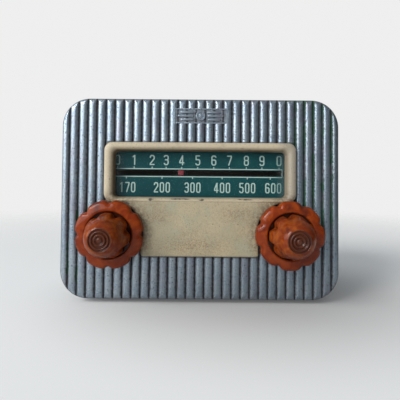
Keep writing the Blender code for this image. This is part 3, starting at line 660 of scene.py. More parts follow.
def cream_paint():
    """Cream enamel gone matt: fine dark specks, chips at the window's lip, rust and finger grime, with
    painted light and shade: lighter raised bars, a shaded right side, shade in the window's reveal, a shadow
    along its foot and shade round the knobs.
    """
    f = Finish("cream_paint", Coat_Weight=0.08, Coat_Roughness=0.4)
    f.colour = f.mix(f.noise(18).step(0.35, 0.65), (0.405, 0.335, 0.215), (0.335, 0.29, 0.188))
    f.paint(f.noise(9, 3).step(0.5, 0.72, 0, 0.5), (0.33, 0.33, 0.235))
    # Painted light: the raised bars round the window and the low ridge under it are lighter than the plate,
    # where the light catches them.
    bars = f.either(abs(f.x).step(57, 62), f.up.step(31, 36), f.up.step(-3.5, -0.5, 0, 0.7))
    f.paint(bars * 0.8, (0.53, 0.435, 0.305))
    # Painted shade on the frame's lower right side.
    shaded_right = f.x.step(50, 61) * f.up.step(-4, 2)
    f.paint(shaded_right * 0.5, (0.17, 0.16, 0.15))
    fine = f.noise(0.7, 5, 0.8)
    f.paint(fine.step(0.47, 0.7, 0, 0.78), (0.2, 0.165, 0.1))
    specks = f.cells(1.7).step(0.2, 0.08) * f.noise(10, 2).step(0.38, 0.56)
    f.paint(specks * 0.75, (0.09, 0.065, 0.04))
    freckles = f.cells(4.1).step(0.12, 0.05) * f.noise(3).step(0.4, 0.55)
    f.paint(freckles * 0.9, (0.045, 0.032, 0.022))
    # The window's inner slopes darker deeper in and most on the left: dirt, and painted shade in the recess.
    deep = (f.depth + fine * 1.4).step(-1.9, 0.6)
    window = f.inside(FRAME_HALF_WIDTH, 0, FRAME_TOP, (-1.5, -2.5), (-0.2, -1.6), (-1.5, -2.5))
    f.paint(deep * window * f.x.step(40, 58, 1, 0.45), (0.12, 0.08, 0.042))
    # Painted shadow along the foot of the frame and plate, where they stand off the metal.
    frame_foot_shade = f.either(
        abs(f.x).step(FRAME_HALF_WIDTH - 1.4, FRAME_HALF_WIDTH - 0.6),
        f.up.step(FRAME_TOP - 1.4, FRAME_TOP - 0.6),
        f.up.step(0, -1),
    )
    f.paint((f.depth + fine * 0.8).step(-0.9, -0.1) * frame_foot_shade, (0.05, 0.038, 0.026))
    stain = f.either(
        f.near(at(26, -10), (22, 20, 9), 0.95),
        f.near(at(-30, -12), (20, 20, 9), 0.95),
        f.near(at(-4, -32), (40, 20, 12), 0.95),
        f.noise(12, 3).step(0.5, 0.7, 0, 0.6),
    )
    f.paint(stain * f.noise(0.9, 6, 0.85).step(0.44, 0.62) * 0.95, (0.18, 0.105, 0.048))
    # Finger grime round the knobs, with painted shade from the discs in it.
    finger_grime_and_shade = f.noise(2.2, 6, 0.75).step(0.38, 0.58)
    f.paint(f.near_knobs(32, 30, 0.35) * finger_grime_and_shade * 0.85, (0.12, 0.074, 0.036))
    jag = f.noise(2, 6, 0.8)
    upper_rim = f.near(at(30, 34, FRAME_PROUD), (26, 6, 1.6), 0.9)
    chips = [upper_rim * jag.step(0.56, 0.64), f.up.step(37, 38.6) * jag.step(0.6, 0.66)]
    for x, up, half_width, half_height in (
        (-33.5, -0.4, 4.5, 2.2), (-13, -0.1, 16, 1), (1, -0.5, 4, 1.7), (-50, -3.2, 8, 1.8),
        (30, -0.2, 12, 0.8),
    ):
        spot = f.near(at(x, up, FRAME_PROUD), (half_width, 6, half_height), 0.95)
        chips.append((spot ** 0.5 * jag).step(0.4, 0.44))
    chipped = f.either(*chips)
    f.paint(chipped, f.mix(fine.step(0.4, 0.6), (0.03, 0.026, 0.024), (0.11, 0.085, 0.065)))
    f.set("Roughness", f.noise(4, 5).step(0.3, 0.7, 0.42, 0.6))
    f.bump(f.noise(1.6, 3), 0.07, 0.5)
    f.bump(fine, 0.03, 0.5)
    f.bump(1 - chipped, 0.12, 0.8)
    return f.done()


def bakelite(name, body, streak, scorch_and_shade, mottle_size):
    """Phenolic moulding with cloudy mottling, scorched patches, a worn polish and painted shade towards its
    bottom.
    """
    f = Finish(name, Coat_Weight=0.36, Coat_Roughness=0.1, Specular_IOR_Level=0.03)
    swirl = f.noise(mottle_size, 4, 0.55, distortion=1.2)
    patches = f.noise(1.7 * mottle_size, 3, 0.5, shift=(70, 0, 30), distortion=0.6)
    f.colour = f.mix(swirl.step(0.35, 0.68), body, streak)
    f.paint(patches.step(0.55, 0.72, 0, 0.8), scorch_and_shade)
    grime = f.noise(1.2, 5, 0.7).step(0.58, 0.7) * patches.step(0.4, 0.58)
    f.paint(grime * 0.7, (0.018, 0.01, 0.008))
    # Painted shade: each knob darker towards its bottom, in the scorched colour.
    f.paint((f.up - KNOB_UP).step(8, -22, 0, 0.45), scorch_and_shade)
    f.set("Roughness", f.noise(2.5, 5).step(0.3, 0.75, 0.26, 0.48))
    f.bump(f.noise(1.1), 0.05, 0.5)
    f.bump(f.noise(5, 3), 0.2, 0.5)
    return f


def outer_knob_bakelite():
    """The discs' moulding, with painted shade round the grip that sits in each."""
    f = bakelite("orange_bakelite", (0.18, 0.021, 0.002), (0.27, 0.043, 0.004), (0.07, 0.011, 0.005), 7)
    # Painted shade on each disc round its grip.
    f.paint(f.near_knobs(16.6, 60, 0.08) * 0.8, (0.022, 0.008, 0.006))
    return f.done()


def inner_knob_bakelite():
    """The grips' moulding, browner in its worn, ringed top."""
    f = bakelite("brown_bakelite", (0.16, 0.021, 0.003), (0.27, 0.056, 0.005), (0.06, 0.013, 0.007), 6)
    top = f.depth.step(4 - KNOB_TOP, 0.5 - KNOB_TOP)
    f.paint(f.near_knobs(8, 9, 0.16, KNOB_TOP) * top * 0.85, (0.045, 0.016, 0.01))
    return f.done()


def dial_enamel():
    """Deep teal enamel, slightly uneven, with painted glare making it lighter and greyer near its ends."""
    f = Finish("dial_enamel", Specular_IOR_Level=0.12)
    cloud = f.noise(16)
    f.colour = f.mix(cloud.step(0.3, 0.7), (0.003, 0.044, 0.05), (0.004, 0.058, 0.06))
    # Painted glare: the teal lighter and greyer towards both ends of the window.
    f.paint(abs(f.x).step(50, 60, 0, 0.5) * f.noise(3), (0.022, 0.05, 0.056))
    f.paint(f.noise(0.7, 5, 0.8).step(0.62, 0.75, 0, 0.3), (0.03, 0.085, 0.085))
    f.set("Roughness", cloud.step(0.3, 0.7, 0.32, 0.46))
    f.bump(f.noise(1.5, 3), 0.02, 0.4)
    return f.done()


def dial_print():
    """Off-white screen print, thin in places, so that the teal shows through, and dimmed by painted shade
    near the window's ends.
    """
    f = Finish("dial_print", Roughness=0.55)
    thin = f.noise(0.9, 5, 0.75).step(0.55, 0.75, 0, 0.5)
    f.colour = f.mix(f.noise(8), (0.3, 0.43, 0.39), (0.4, 0.53, 0.47))
    # Thin print, and painted shade dimming the figures towards both ends of the window.
    f.paint(f.either(thin, abs(f.x).step(49, 57, 0, 0.75)), (0.06, 0.16, 0.16))
    f.bump(f.noise(0.9, 3), 0.02, 0.5)
    return f.done()


def clear_glass():
    """Clear glass with a faint film of dust, thicker towards the window's ends."""
    f = Finish("clear_glass", Roughness=0.04, IOR=1.5)
    f.colour = f.mix(f.noise(6), (0.3, 0.36, 0.36), (0.42, 0.42, 0.38))
    dust = f.noise(1.3, 6, 0.8).step(0.45, 0.8, 0, 0.008)
    f.set("Alpha", dust + abs(f.x).step(52, 59, 0, 0.05) + 0.006)
    f.bump(f.noise(30, 2), 0.05, 0.3)
    return f.done()


def tinted_glass(name, tint, alpha):
    f = Finish(name, Roughness=0.08, IOR=1.5)
    f.colour = f.mix(f.noise(6), tint, tuple(0.5 * c for c in tint))
    f.set("Alpha", f.noise(2, 5).step(0.4, 0.8, 0, 0.2) + alpha)
    f.bump(f.noise(4, 2), 0.05, 0.3)
    return f.done()


def bare_metal(name, bright, dark, smoothest=0.28, roughest=0.45, brushed=(1, 1, 1)):
    """Bare or plated metal with faint tool marks and tarnish."""
    f = Finish(name, Metallic=0.95)
    marks = f.noise(0.5, 4, 0.7, brushed)
    tarnish = f.noise(6, 5, 0.65)
    f.colour = f.mix(tarnish.step(0.42, 0.68), bright, dark)
    spots = f.cells(1.8).step(0.16, 0.08) * tarnish.step(0.45, 0.6)
    f.paint(spots * 0.6, tuple(0.25 * c for c in dark))
    f.set("Roughness", marks.step(0.3, 0.7, smoothest, roughest))
    f.bump(marks, 0.03, 0.5)
    return f.done()


def moulded(name, light, dark, roughness, relief=0.05, grain=1, dust=0.25):
    """A plain moulding, lacquer, paper or rubber: two tones, fine grain and a little dust."""
    f = Finish(name)
    fine = f.noise(grain, 5, 0.7)
    f.colour = f.mix(f.noise(7).step(0.35, 0.65), light, dark)
    f.paint(fine.step(0.6, 0.75, 0, dust), tuple(0.4 * c + 0.1 for c in light))
    f.set("Roughness", fine.step(0.3, 0.7, roughness - 0.08, roughness + 0.08))
    f.bump(fine, relief, 0.6)
    return f.done()


def waxed_cord():
    """Twisted thread: fine strands, light and dark."""
    f = Finish("waxed_cord", Roughness=0.75)
    strands = f.noise(0.35, 3, 0.6, (1, 2, 1))
    f.colour = f.mix(strands.step(0.4, 0.6), (0.2, 0.15, 0.08), (0.46, 0.38, 0.24))
    f.bump(strands, 0.08, 0.8)
    return f.done()


def studio_paper():
    """The pale floor, with a painted shadow round the radio, softly lit from below and fading out far away.
    """
    f = Finish("studio_paper", Roughness=0.9, Emission_Strength=FLOOR_GLOW, Specular_IOR_Level=0.2)
    f.colour = f.mix(f.noise(400, 2), (0.8, 0.79, 0.775), (0.82, 0.81, 0.8))
    # Painted shadow: the floor darker round the radio.
    f.paint(f.near((40, 0, 0), (180, 160, 1000), 0.8), (0.46, 0.45, 0.44))
    f.set("Emission Color", (1, 1, 1))
    f.set("Alpha", f.near((0, 0, 0), (FLOOR_REACH,) * 3, 0.75))
    return f.done()


# The ribbed front


def beyond_centres(x, up):
    """How far a place lies outside the centres of the corners' arcs, across and up."""
    return abs(x) - (CASE_WIDTH / 2 - CORNER_RADIUS), abs(up) - (CASE_HEIGHT / 2 - CORNER_RADIUS)


def case_top(x):
    """How far up and down the case's outline reaches at x."""
    beyond = max(beyond_centres(x, 0)[0], 0)
    return CASE_HEIGHT / 2 - CORNER_RADIUS + math.sqrt(max(0, CORNER_RADIUS**2 - beyond**2))


def inside_edge(x, up):
    """Distance in from the case's outline."""
    across, above = beyond_centres(x, up)
    outer = math.hypot(max(across, 0), max(above, 0))
    return CORNER_RADIUS - outer - min(max(across, above), 0)


def inner_point(x, up, inset):
    """A point of the case's outline moved in, square to the outline."""
    across, above = beyond_centres(x, up)
    away = Vector((max(across, 0), max(above, 0))).normalized() * inset
    return x - math.copysign(away.x, x), up - math.copysign(away.y, up)


def front_height(x, up):
    """Height of the casting's surface: ribs with round crests, rolled over at the edge."""
    from_crest = 2 * abs((x / RIB_PITCH + 0.5) % 1 - 0.5)
    height = -RIB_DEPTH * from_crest**RIB_POWER
    plate_inset = min(NAMEPLATE_WIDTH / 2 - abs(x), NAMEPLATE_HEIGHT / 2 - abs(up - NAMEPLATE_UP))
    if plate_inset > 0:
        height = 0 if plate_inset < NAMEPLATE_BORDER else -NAMEPLATE_SUNK
    share = 1 - max(inside_edge(x, up), 0) / EDGE_INSET
    if share > 0:
        height = min(height, EDGE_DEPTH * (math.sqrt(1 - share**2) - 1))
    return height


def samples(half_size, plate_edges, others):
    """Where the surface is sampled: close together at the rolled edge and the nameplate's border."""
    values = set(others)
    for i in range(EDGE_STEPS + 1):
        inset = EDGE_INSET * (1 - math.cos(math.pi / 2 * i / EDGE_STEPS)) ** 1.1
        values |= {half_size - inset, inset - half_size}
    for edge in plate_edges:
        values |= {edge - BORDER_SLOPE, edge + BORDER_SLOPE}
    return sorted(values)


def rib_columns():
    step = RIB_PITCH / (2 * RIB_STEPS)
    reach = int((CASE_WIDTH / 2 - EDGE_INSET) / step)
    side = NAMEPLATE_WIDTH / 2
    edges = (-side, NAMEPLATE_BORDER - side, side - NAMEPLATE_BORDER, side)
    return samples(CASE_WIDTH / 2, edges, [i * step for i in range(-reach, reach + 1)])


def rib_rows():
    limit = CASE_HEIGHT / 2 - EDGE_INSET
    side = NAMEPLATE_HEIGHT / 2
    edges = [NAMEPLATE_UP + way * (side - border) for way in (-1, 1) for border in (0, NAMEPLATE_BORDER)]
    return samples(CASE_HEIGHT / 2, edges, [limit * (2 * i / ROW_COUNT - 1) for i in range(1, ROW_COUNT)])


def perimeter(columns):
    """What lies along the edge of a grid, anticlockwise from its lower left corner."""
    rim = [column[0] for column in columns] + columns[-1][1:]
    return rim + [column[-1] for column in reversed(columns[:-1])] + columns[0][-2:0:-1]


def ribbed_front_mesh():
    mesh = bmesh.new()
    rows = rib_rows()
    places = []
    for x in rib_columns():
        scale = case_top(x) / (CASE_HEIGHT / 2)
        places.append([(x, row * scale) for row in rows])
    grid = [[vertex(mesh, *place, front_height(*place)) for place in column] for column in places]
    for near, far in zip(grid, grid[1:]):
        for i in range(len(rows) - 1):
            mesh.faces.new((near[i], far[i], far[i + 1], near[i + 1]))
    before = perimeter(grid)
    for inset, height in (
        (0, 0.3 - CASING_DEPTH), (0.3, -CASING_DEPTH), (CASTING_WALL, -CASING_DEPTH),
        (CASTING_WALL, -FRONT_THICKNESS),
    ):
        level = [vertex(mesh, *inner_point(*place, inset), height) for place in perimeter(places)]
        skin(mesh, level, before)
        before = level
    mesh.faces.new(before[::-1])
    return mesh


def make_front_casing():
    casing = new_object("front_casing_ribbed", ribbed_front_mesh(), facing())
    outlines = [window_outline(SLEEVE, 2, GAP)]
    outlines += [moved(circle(BUSH_HOLE_RADIUS), side * KNOB_X, KNOB_UP) for side in (-1, 1)]
    cut(casing, gather([prism(outline, -10, 10) for outline in outlines]), facing())
    piece(casing, METAL, ("front_casing",), smooth_angle=50)


def make_nameplate_ornament():
    """Raised geometric trim in the nameplate's sunk field: a ringed stud between rounded bars."""
    high = 0.55
    floor = -NAMEPLATE_SUNK - 0.3
    stud = (
        (3.3, floor), (3.3, 0.3), (3, high), (2.5, high), (2.2, 0), (1.6, 0), (1.3, high - 0.1), (0.6, high)
    )
    edge = ((0, floor), (0, high - 0.35), (0.12, high - 0.1), (0.35, high))
    meshes = [turned(stud, 36)]
    for side in (-1, 1):
        for up, length in ((2.5, 9), (0, 11), (-2.5, 9)):
            centre = side * (4.7 + length / 2)
            bar = narrowed(length, 1.5, 0.7, edge, 5)
            meshes.append(loft([(moved(outline, centre, up), height) for outline, height in bar]))
    ornament = new_object("nameplate_ornament", gather(meshes), facing(0, NAMEPLATE_UP))
    piece(ornament, METAL)


# The painted frame


def ring_mesh():
    """The bar round the window: a rounded ridge that slopes down to the glass inside."""
    radii = (5.5, 5.5, 6.5, 6.5)
    outer = rounded_box(-FRAME_HALF_WIDTH, FRAME_HALF_WIDTH, FRAME_STEP, FRAME_TOP, radii, 10)
    inner = window_outline(WINDOW, 3)
    sleeve = window_outline(SLEEVE, 2)
    # (share of the way in, height)
    profile = (
        (0, 0.3), (0, 1), (0.015, 1.5), (0.05, 1.95), (0.11, 2.35), (0.19, 2.68), (0.29, 2.9),
        (0.4, 3), (0.5, 2.98), (0.59, 2.8), (0.68, 2.42), (0.77, 1.8), (0.85, 0.95),
        (0.91, 0), (0.96, -1), (0.99, -2), (1, -2.8), (1, -3.2),
    )
    sections = [(between(outer, inner, share), height) for share, height in profile]
    return loft(sections + [(sleeve, -SLEEVE_DEPTH), (sleeve, 0.3)], ring=True)


def plate_outline(inset):
    """The lower plate: hollowed round both knobs, with a narrower foot."""
    hollow = CUTOUT_RADIUS + inset
    high = math.degrees(math.asin((FRAME_STEP - KNOB_UP) / hollow))
    low = math.degrees(math.acos((KNOB_X - FOOT_HALF_WIDTH + inset) / hollow))
    right = arc((KNOB_X, KNOB_UP), hollow, 180 - high, 180 + low, 40)
    right.insert(0, (right[0][0], PLATE_TOP))
    corner = (FOOT_HALF_WIDTH - FOOT_CORNER, FRAME_FOOT + FOOT_CORNER)
    right += arc(corner, FOOT_CORNER - inset, 0, -90, 8)
    return [(-x, up) for x, up in right] + right[::-1]


def make_escutcheon():
    frame_piece = new_object("escutcheon_frame", ring_mesh(), facing())
    profile = [(0, 0.3)] + quarter(1.4, PLATE_PROUD, 1.2, 7) + [(1.5, PLATE_PROUD + PLATE_CROWN)]
    plate = loft([(plate_outline(inset), height) for inset, height in profile])
    combine(frame_piece, plate, "UNION", facing())
    piece(frame_piece, CREAM, ("escutcheon",), smooth_angle=45)


# The dial


def figure_lines():
    """The centre lines of squarish figures, each in a cell one wide and one high."""
    cx, cy = FIGURE_CHAMFER
    foot = [(cx, 0), (1 - cx, 0), (1, cy)]
    head = [(1, 1 - cy), (1 - cx, 1), (cx, 1), (0, 1 - cy)]
    left = [(0, cy)]
    six = head + left + foot + [(1, 0.44), (1 - cx, 0.55), (0, 0.55)]
    return {
        "0": [foot + head + left + [(cx, 0)]],
        "1": [[(0.62, 0), (0.62, 1), (0.18, 0.84)]],
        "2": [[(0, 0.8)] + head[::-1] + [(1, 0.64), (0, 0.08), (0, 0), (1, 0)]],
        "3": [
            head[::-1] + [(1, 0.62), (0.8, 0.53), (0.3, 0.53)],
            [(0.8, 0.53), (1, 0.43)] + foot[::-1] + left,
        ],
        "4": [[(0.72, 0), (0.72, 1), (0, 0.34), (0, 0.22), (1.05, 0.22)]],
        "5": [[(0.95, 1), (0.06, 1), (0.06, 0.58), (0.76, 0.58), (1, 0.46)] + foot[::-1] + left],
        "6": [six],
        "7": [[(0, 1), (1, 1), (1, 0.86), (0.34, 0)]],
        "8": [
            foot + [(1, 0.43), (0.8, 0.53), (0.2, 0.53), (0, 0.43)] + left + [(cx, 0)],
            [(0.2, 0.53), (0.8, 0.53), (1, 0.63)] + head + [(0, 0.63), (0.2, 0.53)],
        ],
        "9": [[(1 - x, 1 - y) for x, y in six]],
    }


def number_polygons(text, centre, figure, pitch=0):
    """A number on the dial, as polygons in (x, up)."""
    width, height, up = figure
    inner_width = width - FIGURE_STROKE
    inner_height = height - FIGURE_STROKE
    low = up - inner_height / 2
    lines = figure_lines()
    polygons = []
    for digit, place in zip(text, row(len(text), pitch)):
        left = centre + place - inner_width / 2
        for line in lines[digit]:
            points = [(left + u * inner_width, low + v * inner_height) for u, v in line]
            polygons += stroke(points, FIGURE_STROKE)
    return polygons


def make_dial_print():
    """The dial's numbers: a nought to nought log scale over a scale of wavelengths."""
    surface = heights("dial_scale")[0]
    lower, upper = DIAL_LINES
    figures = []
    lines = []
    for text, x in zip(TOP_NUMBERS, TOP_PLACES):
        figures += number_polygons(text, x, TOP_FIGURE)
        lines += stroke([(x, upper + TICK_GAP), (x, upper + TICK_GAP + TICK_LENGTH)], TICK_WIDTH)
    for text, x in zip(WAVE_NUMBERS, WAVE_PLACES):
        figures += number_polygons(text, x, WAVE_FIGURE, WAVE_PITCH)
    for x in WAVE_TICKS:
        lines += stroke([(x, lower - TICK_GAP), (x, lower - TICK_GAP - TICK_LENGTH)], TICK_WIDTH)
    left = box("dial_scale")[0].x + 2
    corners = [(left, upper), (DIAL_LINE_END, upper), (DIAL_LINE_END, lower), (left, lower)]
    lines += stroke(corners, DIAL_LINE_WIDTH)
    for name, polygons in (("dial_figures", figures), ("dial_lines", lines)):
        printed = new_object(name, flat_union(polygons, surface + 0.01, surface + 0.07), facing())
        piece(printed, PRINT)


def make_pointer():
    """A small red blade with a rounded face, on the stem that comes forward through the slot."""
    front, stem_end = heights("pointer")
    rear = front - 1.8
    stem = centred_box(1.4, 1.4, 0.3, 4, 2)
    profile = [(0.25, rear), (0, rear + 0.25)] + quarter(front - 0.7, front, 0.7)
    blade = narrowed(POINTER_WIDTH, POINTER_HEIGHT, 1, profile, 4, 2)
    mesh = loft([(stem, stem_end), (stem, rear)] + blade)
    pointer = new_object("pointer_blade", mesh, facing(*drawn("pointer")))
    piece(pointer, RED, ("pointer",), "pointer_body")


# The knobs: their profiles are (radius, height, notch depth)


def make_outer_knob(name, node, side, phase):
    """A scalloped disc with a gently domed face and a recess underneath for the control's nut."""
    profile = (
        (3.5, 5, 0), (8.5, 5, 0), (8.5, 3.4, 0), (22.1, 3.4, 1.9), (22.7, 3.7, 1.9),
        (22.9, 4.5, 1.9), (22.9, 8.4, 1.9), (22.8, 9.2, 1.9), (22.55, 9.9, 1.9), (22.1, 10.5, 1.9),
        (21.5, 10.95, 1.805), (20.7, 11.3, 1.52), (19.8, 11.55, 0.95), (18.8, 11.75, 0.38), (17.8, 11.9, 0),
        (16.6, 12, 0), (15.9, 11.9, 0), (15.5, 11.5, 0), (15.4, 9.6, 0), (15.2, 8.6, 0),
        (8, 8.6, 0), (3.5, 8.6, 0),
    )
    sections = [(lobed(radius, 8, depth, 5.5, phase), height) for radius, height, depth in profile]
    disc = new_object(name, loft(sections, ring=True), facing(side * KNOB_X, KNOB_UP))
    piece(disc, ORANGE, (node,), f"{node}_body")


def make_inner_knob(name, node, side, phase):
    """A tapering grip: a lobed skirt that smooths out upwards, and rings turned in its top."""
    profile = [
        (2.3, 20.5, 0), (2.3, 12.3, 0), (3.6, 12.3, 0), (3.6, 10.6, 0), (12.6, 10.6, 1.2),
        (13.9, 10.65, 1.8), (14.5, 10.9, 2.1), (14.75, 11.5, 2.3), (14.75, 13.2, 2.4), (14.7, 15, 2.4),
        (14.55, 16.8, 2.3), (14.3, 18.4, 2), (14, 19.8, 1.5), (13.6, 21.2, 0.9), (13.1, 23, 0.35),
        (12.5, 25.2, 0.08), (11.9, 27.2, 0), (11.3, 28.9, 0), (10.6, 30.4, 0), (9.75, 31.9, 0),
        (8.9, 33, 0), (8.1, 33.7, 0), (7.5, 34, 0),
    ]
    # (radius of a ring, its height, radius of the groove inside it, that groove's height)
    for ring, high, groove, low in (
        (7.15, 34.55, 6.3, 33.85), (5.25, 34.85, 4.25, 33.95), (3.2, 34.9, 2.15, 34.1)
    ):
        for aside, share in ((0.45, 0.75), (0.18, 0.97), (-0.18, 0.97), (-0.45, 0.7)):
            profile.append((ring + aside, low + (high - low) * share, 0))
        profile += [(groove + 0.2, low + 0.1 * (high - low), 0), (groove - 0.2, low, 0)]
    profile += [(1.75, 34.45, 0), (1.45, 34.8, 0), (0.9, 35, 0), (0.35, 35, 0)]
    sections = [(lobed(radius, 7, depth, 3.2, phase, 280), height) for radius, height, depth in profile]
    grip = new_object(name, loft(sections), facing(side * KNOB_X, KNOB_UP))
    piece(grip, BROWN, (node,), f"{node}_body", 50)


# The case behind the front


def make_rear_case():
    """A folded sheet sleeve: rolled rear lip, vents on top, loudspeaker slots in one side."""
    front, rear = heights("rear_case")
    lip = 0.6
    sections = case_sections((
        (0.25, front), (0, front - 0.25), (0, rear + lip), (0.3 * lip, rear + 0.3 * lip), (lip, rear),
        (SHEET_WALL, rear), (SHEET_WALL, front),
    ))
    case = new_object("rear_case_sheet", loft(sections, ring=True), facing())
    vents = []
    for i in range(VENTS_EACH_SIDE):
        for side in (-1, 1):
            outline = slot_outline(*VENT_SIZE, side * (VENT_FIRST_X + VENT_PITCH * i), VENT_Y)
            vents.append(prism(outline, REAR_HIGH.z - 6, REAR_HIGH.z + 4))
    cut(case, gather(vents), placed(0, 0))
    speaker = middle("speaker_cone")
    slots = []
    for along in row(SPEAKER_SLOTS, SPEAKER_SLOT_PITCH):
        length = 2 * math.sqrt(SPEAKER_GRILLE_RADIUS**2 - along**2)
        slots.append(prism(slot_outline(length, SPEAKER_SLOT_WIDTH, -speaker.z, speaker.y + along), -4, 6))
    cut(case, gather(slots), placed(REAR_HIGH.x, 0) @ Matrix.Rotation(math.pi / 2, 4, "Y"))
    piece(case, HAMMERED, ("rear_case",))


def make_rear_cover():
    """The pressed board back: soft edges and rows of slots with round ends."""
    front, rear = heights("rear_cover")
    inset = box("rear_cover")[0].x - REAR_LOW.x
    sections = case_sections(
        ((inset, front), (inset, rear + 0.4), (inset + 0.12, rear + 0.12), (inset + 0.4, rear))
    )
    cover = new_object("rear_cover_board", loft(sections), facing())
    outlines = []
    for up in COVER_SLOT_ROWS:
        outlines += [slot_outline(*COVER_SLOT_SIZE, x, up) for x in row(COVER_SLOTS, COVER_SLOT_PITCH)]
    outlines += [moved(circle(2, 24), *drawn(screw)) for screw in SCREWS]
    outlines.append(moved(centred_box(24.6, 13.6, 0.4, 3), *drawn("mains_inlet")))
    cut(cover, gather([prism(outline, rear - 3, front + 3) for outline in outlines]), facing())
    piece(cover, BOARD, ("rear_cover",))


def make_screws():
    """Cheese-head screws with domed, slotted heads."""
    head = 3.4
    pitch = 0.7
    seat = heights("rear_cover")[1] - GAP
    for number, node in enumerate(SCREWS, 1):
        shank_end, crown = heights(node)
        profile = [(0.9, shank_end), (1.5, shank_end - 0.8)]
        level = shank_end - 1.2
        while level > seat + pitch:
            profile += [(1.6, level), (1.25, level - pitch / 2)]
            level -= pitch
        profile += [(1.5, seat), (head - 0.1, seat), (head, seat - 0.15)]
        for inset, height in quarter(seat - 0.45, crown, head):
            profile.append((max(0.3, head - inset), height))
        spot = facing(*drawn(node))
        screw = new_object(f"cover_screw_head_{number}", turned(profile, 40), spot)
        slot = prism(centred_box(8, 0.9, 0.1, 2), crown - 1, crown + 0.75)
        cut(screw, slot, spot @ Matrix.Rotation(math.radians(35 * number), 4, "Z"))
        piece(screw, STEEL, (node,))


def make_feet():
    """Rubber buttons with a rounded tread and a hollow in the sole."""
    for number in range(1, 5):
        node = f"rubber_foot_{number}"
        top = box(node)[1].z
        profile = (
            (1.2, 0.9), (2.6, 0.8), (3.2, 0.15), (3.6, 0), (4.9, 0), (5.4, 0.15), (5.8, 0.6), (6, 1.2),
            (6, top - 0.3), (5.7, top),
        )
        foot = new_object(f"foot_{number}", turned(profile), placed(*middle(node).xy))
        piece(foot, RUBBER, (node,))


def make_mains_inlet():
    """A moulded inlet: a collared flange, a deep well and two round-nosed pins."""
    low, high = box("mains_inlet")
    inner, outer = heights("mains_inlet")
    seat = heights("rear_cover")[1] - GAP
    body = centred_box(24, 13, 0.6, 6)
    profile = ((0, seat), (0, outer + 0.9), (0.25, outer + 0.4), (0.7, outer + 0.1), (1.3, outer))
    flange = narrowed(high.x - low.x, high.z - low.z, 2, profile, 6)
    spot = facing(*drawn("mains_inlet"))
    inlet = new_object("mains_inlet_body", loft([(body, inner), (body, seat)] + flange), spot)
    floor = inner - 2
    cut(inlet, prism(centred_box(20, 9.5, 2, 8), outer - 3, floor), spot)
    piece(inlet, BLACK, ("mains_inlet",))
    pin = ((1.2, floor + 0.5), (1.2, floor - 5), (0.95, floor - 5.6), (0.5, floor - 6))
    contacts = gather([turned(pin, 32, side * 6) for side in (-1, 1)])
    piece(new_object("mains_inlet_pins", contacts, spot), BRASS)


def make_aerial_terminals():
    """Two knurled terminal nuts on a small insulating strip."""
    low, high = box("aerial_terminals")
    seat, outer = heights("aerial_terminals")
    spot = facing(*drawn("aerial_terminals"))
    profile = ((0, seat), (0, seat - 0.7), (0.12, seat - 0.98), (0.4, seat - 1.1))
    strip = loft(narrowed(high.x - low.x, high.z - low.z, 2, profile, 8))
    piece(new_object("aerial_terminal_strip", strip, spot), BLACK, ("aerial_terminals",))
    floor = seat - 1
    # (radius, height, depth of the knurls)
    levels = (
        (3.1, floor, 0), (3.35, floor - 0.2, 0.14), (3.35, outer + 0.35, 0.14), (3, outer + 0.1, 0),
        (1.6, outer + 0.1, 0), (1.45, outer + 0.1, 0), (1.35, outer, 0), (0.4, outer, 0),
    )
    nuts = []
    for side in (-1, 1):
        nuts.append(loft([
            (moved(lobed(radius, 24, knurl, 1, 0, 96), side * 9, 0), level)
            for radius, level, knurl in levels
        ]))
    piece(new_object("aerial_terminal_nuts", gather(nuts), spot), BRASS)


# The CAD pieces that stay, with better materials


def finish_cad_nodes():
    choices = {
        STEEL: ("tuning_shaft", "volume_shaft", "capacitor_frame", "chassis", "speaker_frame"),
        BLUED: ("pointer_rail", "dial_backplate"),
        BRASS: (
            "lamp_holder", "idler_pulley_left", "idler_pulley_right", "capacitor_shaft",
            "control_nut_left", "control_nut_right", "tone_sleeve", "selector_sleeve",
        ),
        ALUMINIUM: (
            "drive_drum", "capacitor_rotor", "capacitor_stator", "if_transformer_1", "if_transformer_2",
            "smoothing_capacitor",
        ),
        BLACK: (
            "pointer_carriage", "tone_control", "selector_switch", "volume_control",
            "valve_socket_1", "valve_socket_2", "valve_socket_3", "valve_socket_4",
        ),
        VALVE_GLASS: ("valve_1", "valve_2", "valve_3", "valve_4"),
        LAMP_GLASS: ("dial_lamp",),
        IRON: ("mains_transformer", "output_transformer", "speaker_magnet"),
        PAPER: ("speaker_cone",),
        CORD: ("drive_cord",),
        TEAL: ("dial_scale",),
        GLASS: ("dial_glass",),
    }
    for material, names in choices.items():
        for name in names:
            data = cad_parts[name].data
            data.materials.clear()
            data.materials.append(material)


# The studio: sizes and distances of lights are metres


def make_stage():
    mesh = bmesh.new()
    reach = 1.2 * FLOOR_REACH
    mesh.faces.new([vertex(mesh, x * reach, y * reach, 0) for x, y in ((-1, -1), (1, -1), (1, 1), (-1, 1))])
    floor = new_object("studio_floor", mesh, placed(0, 0))
    floor.data.materials.append(studio_paper())


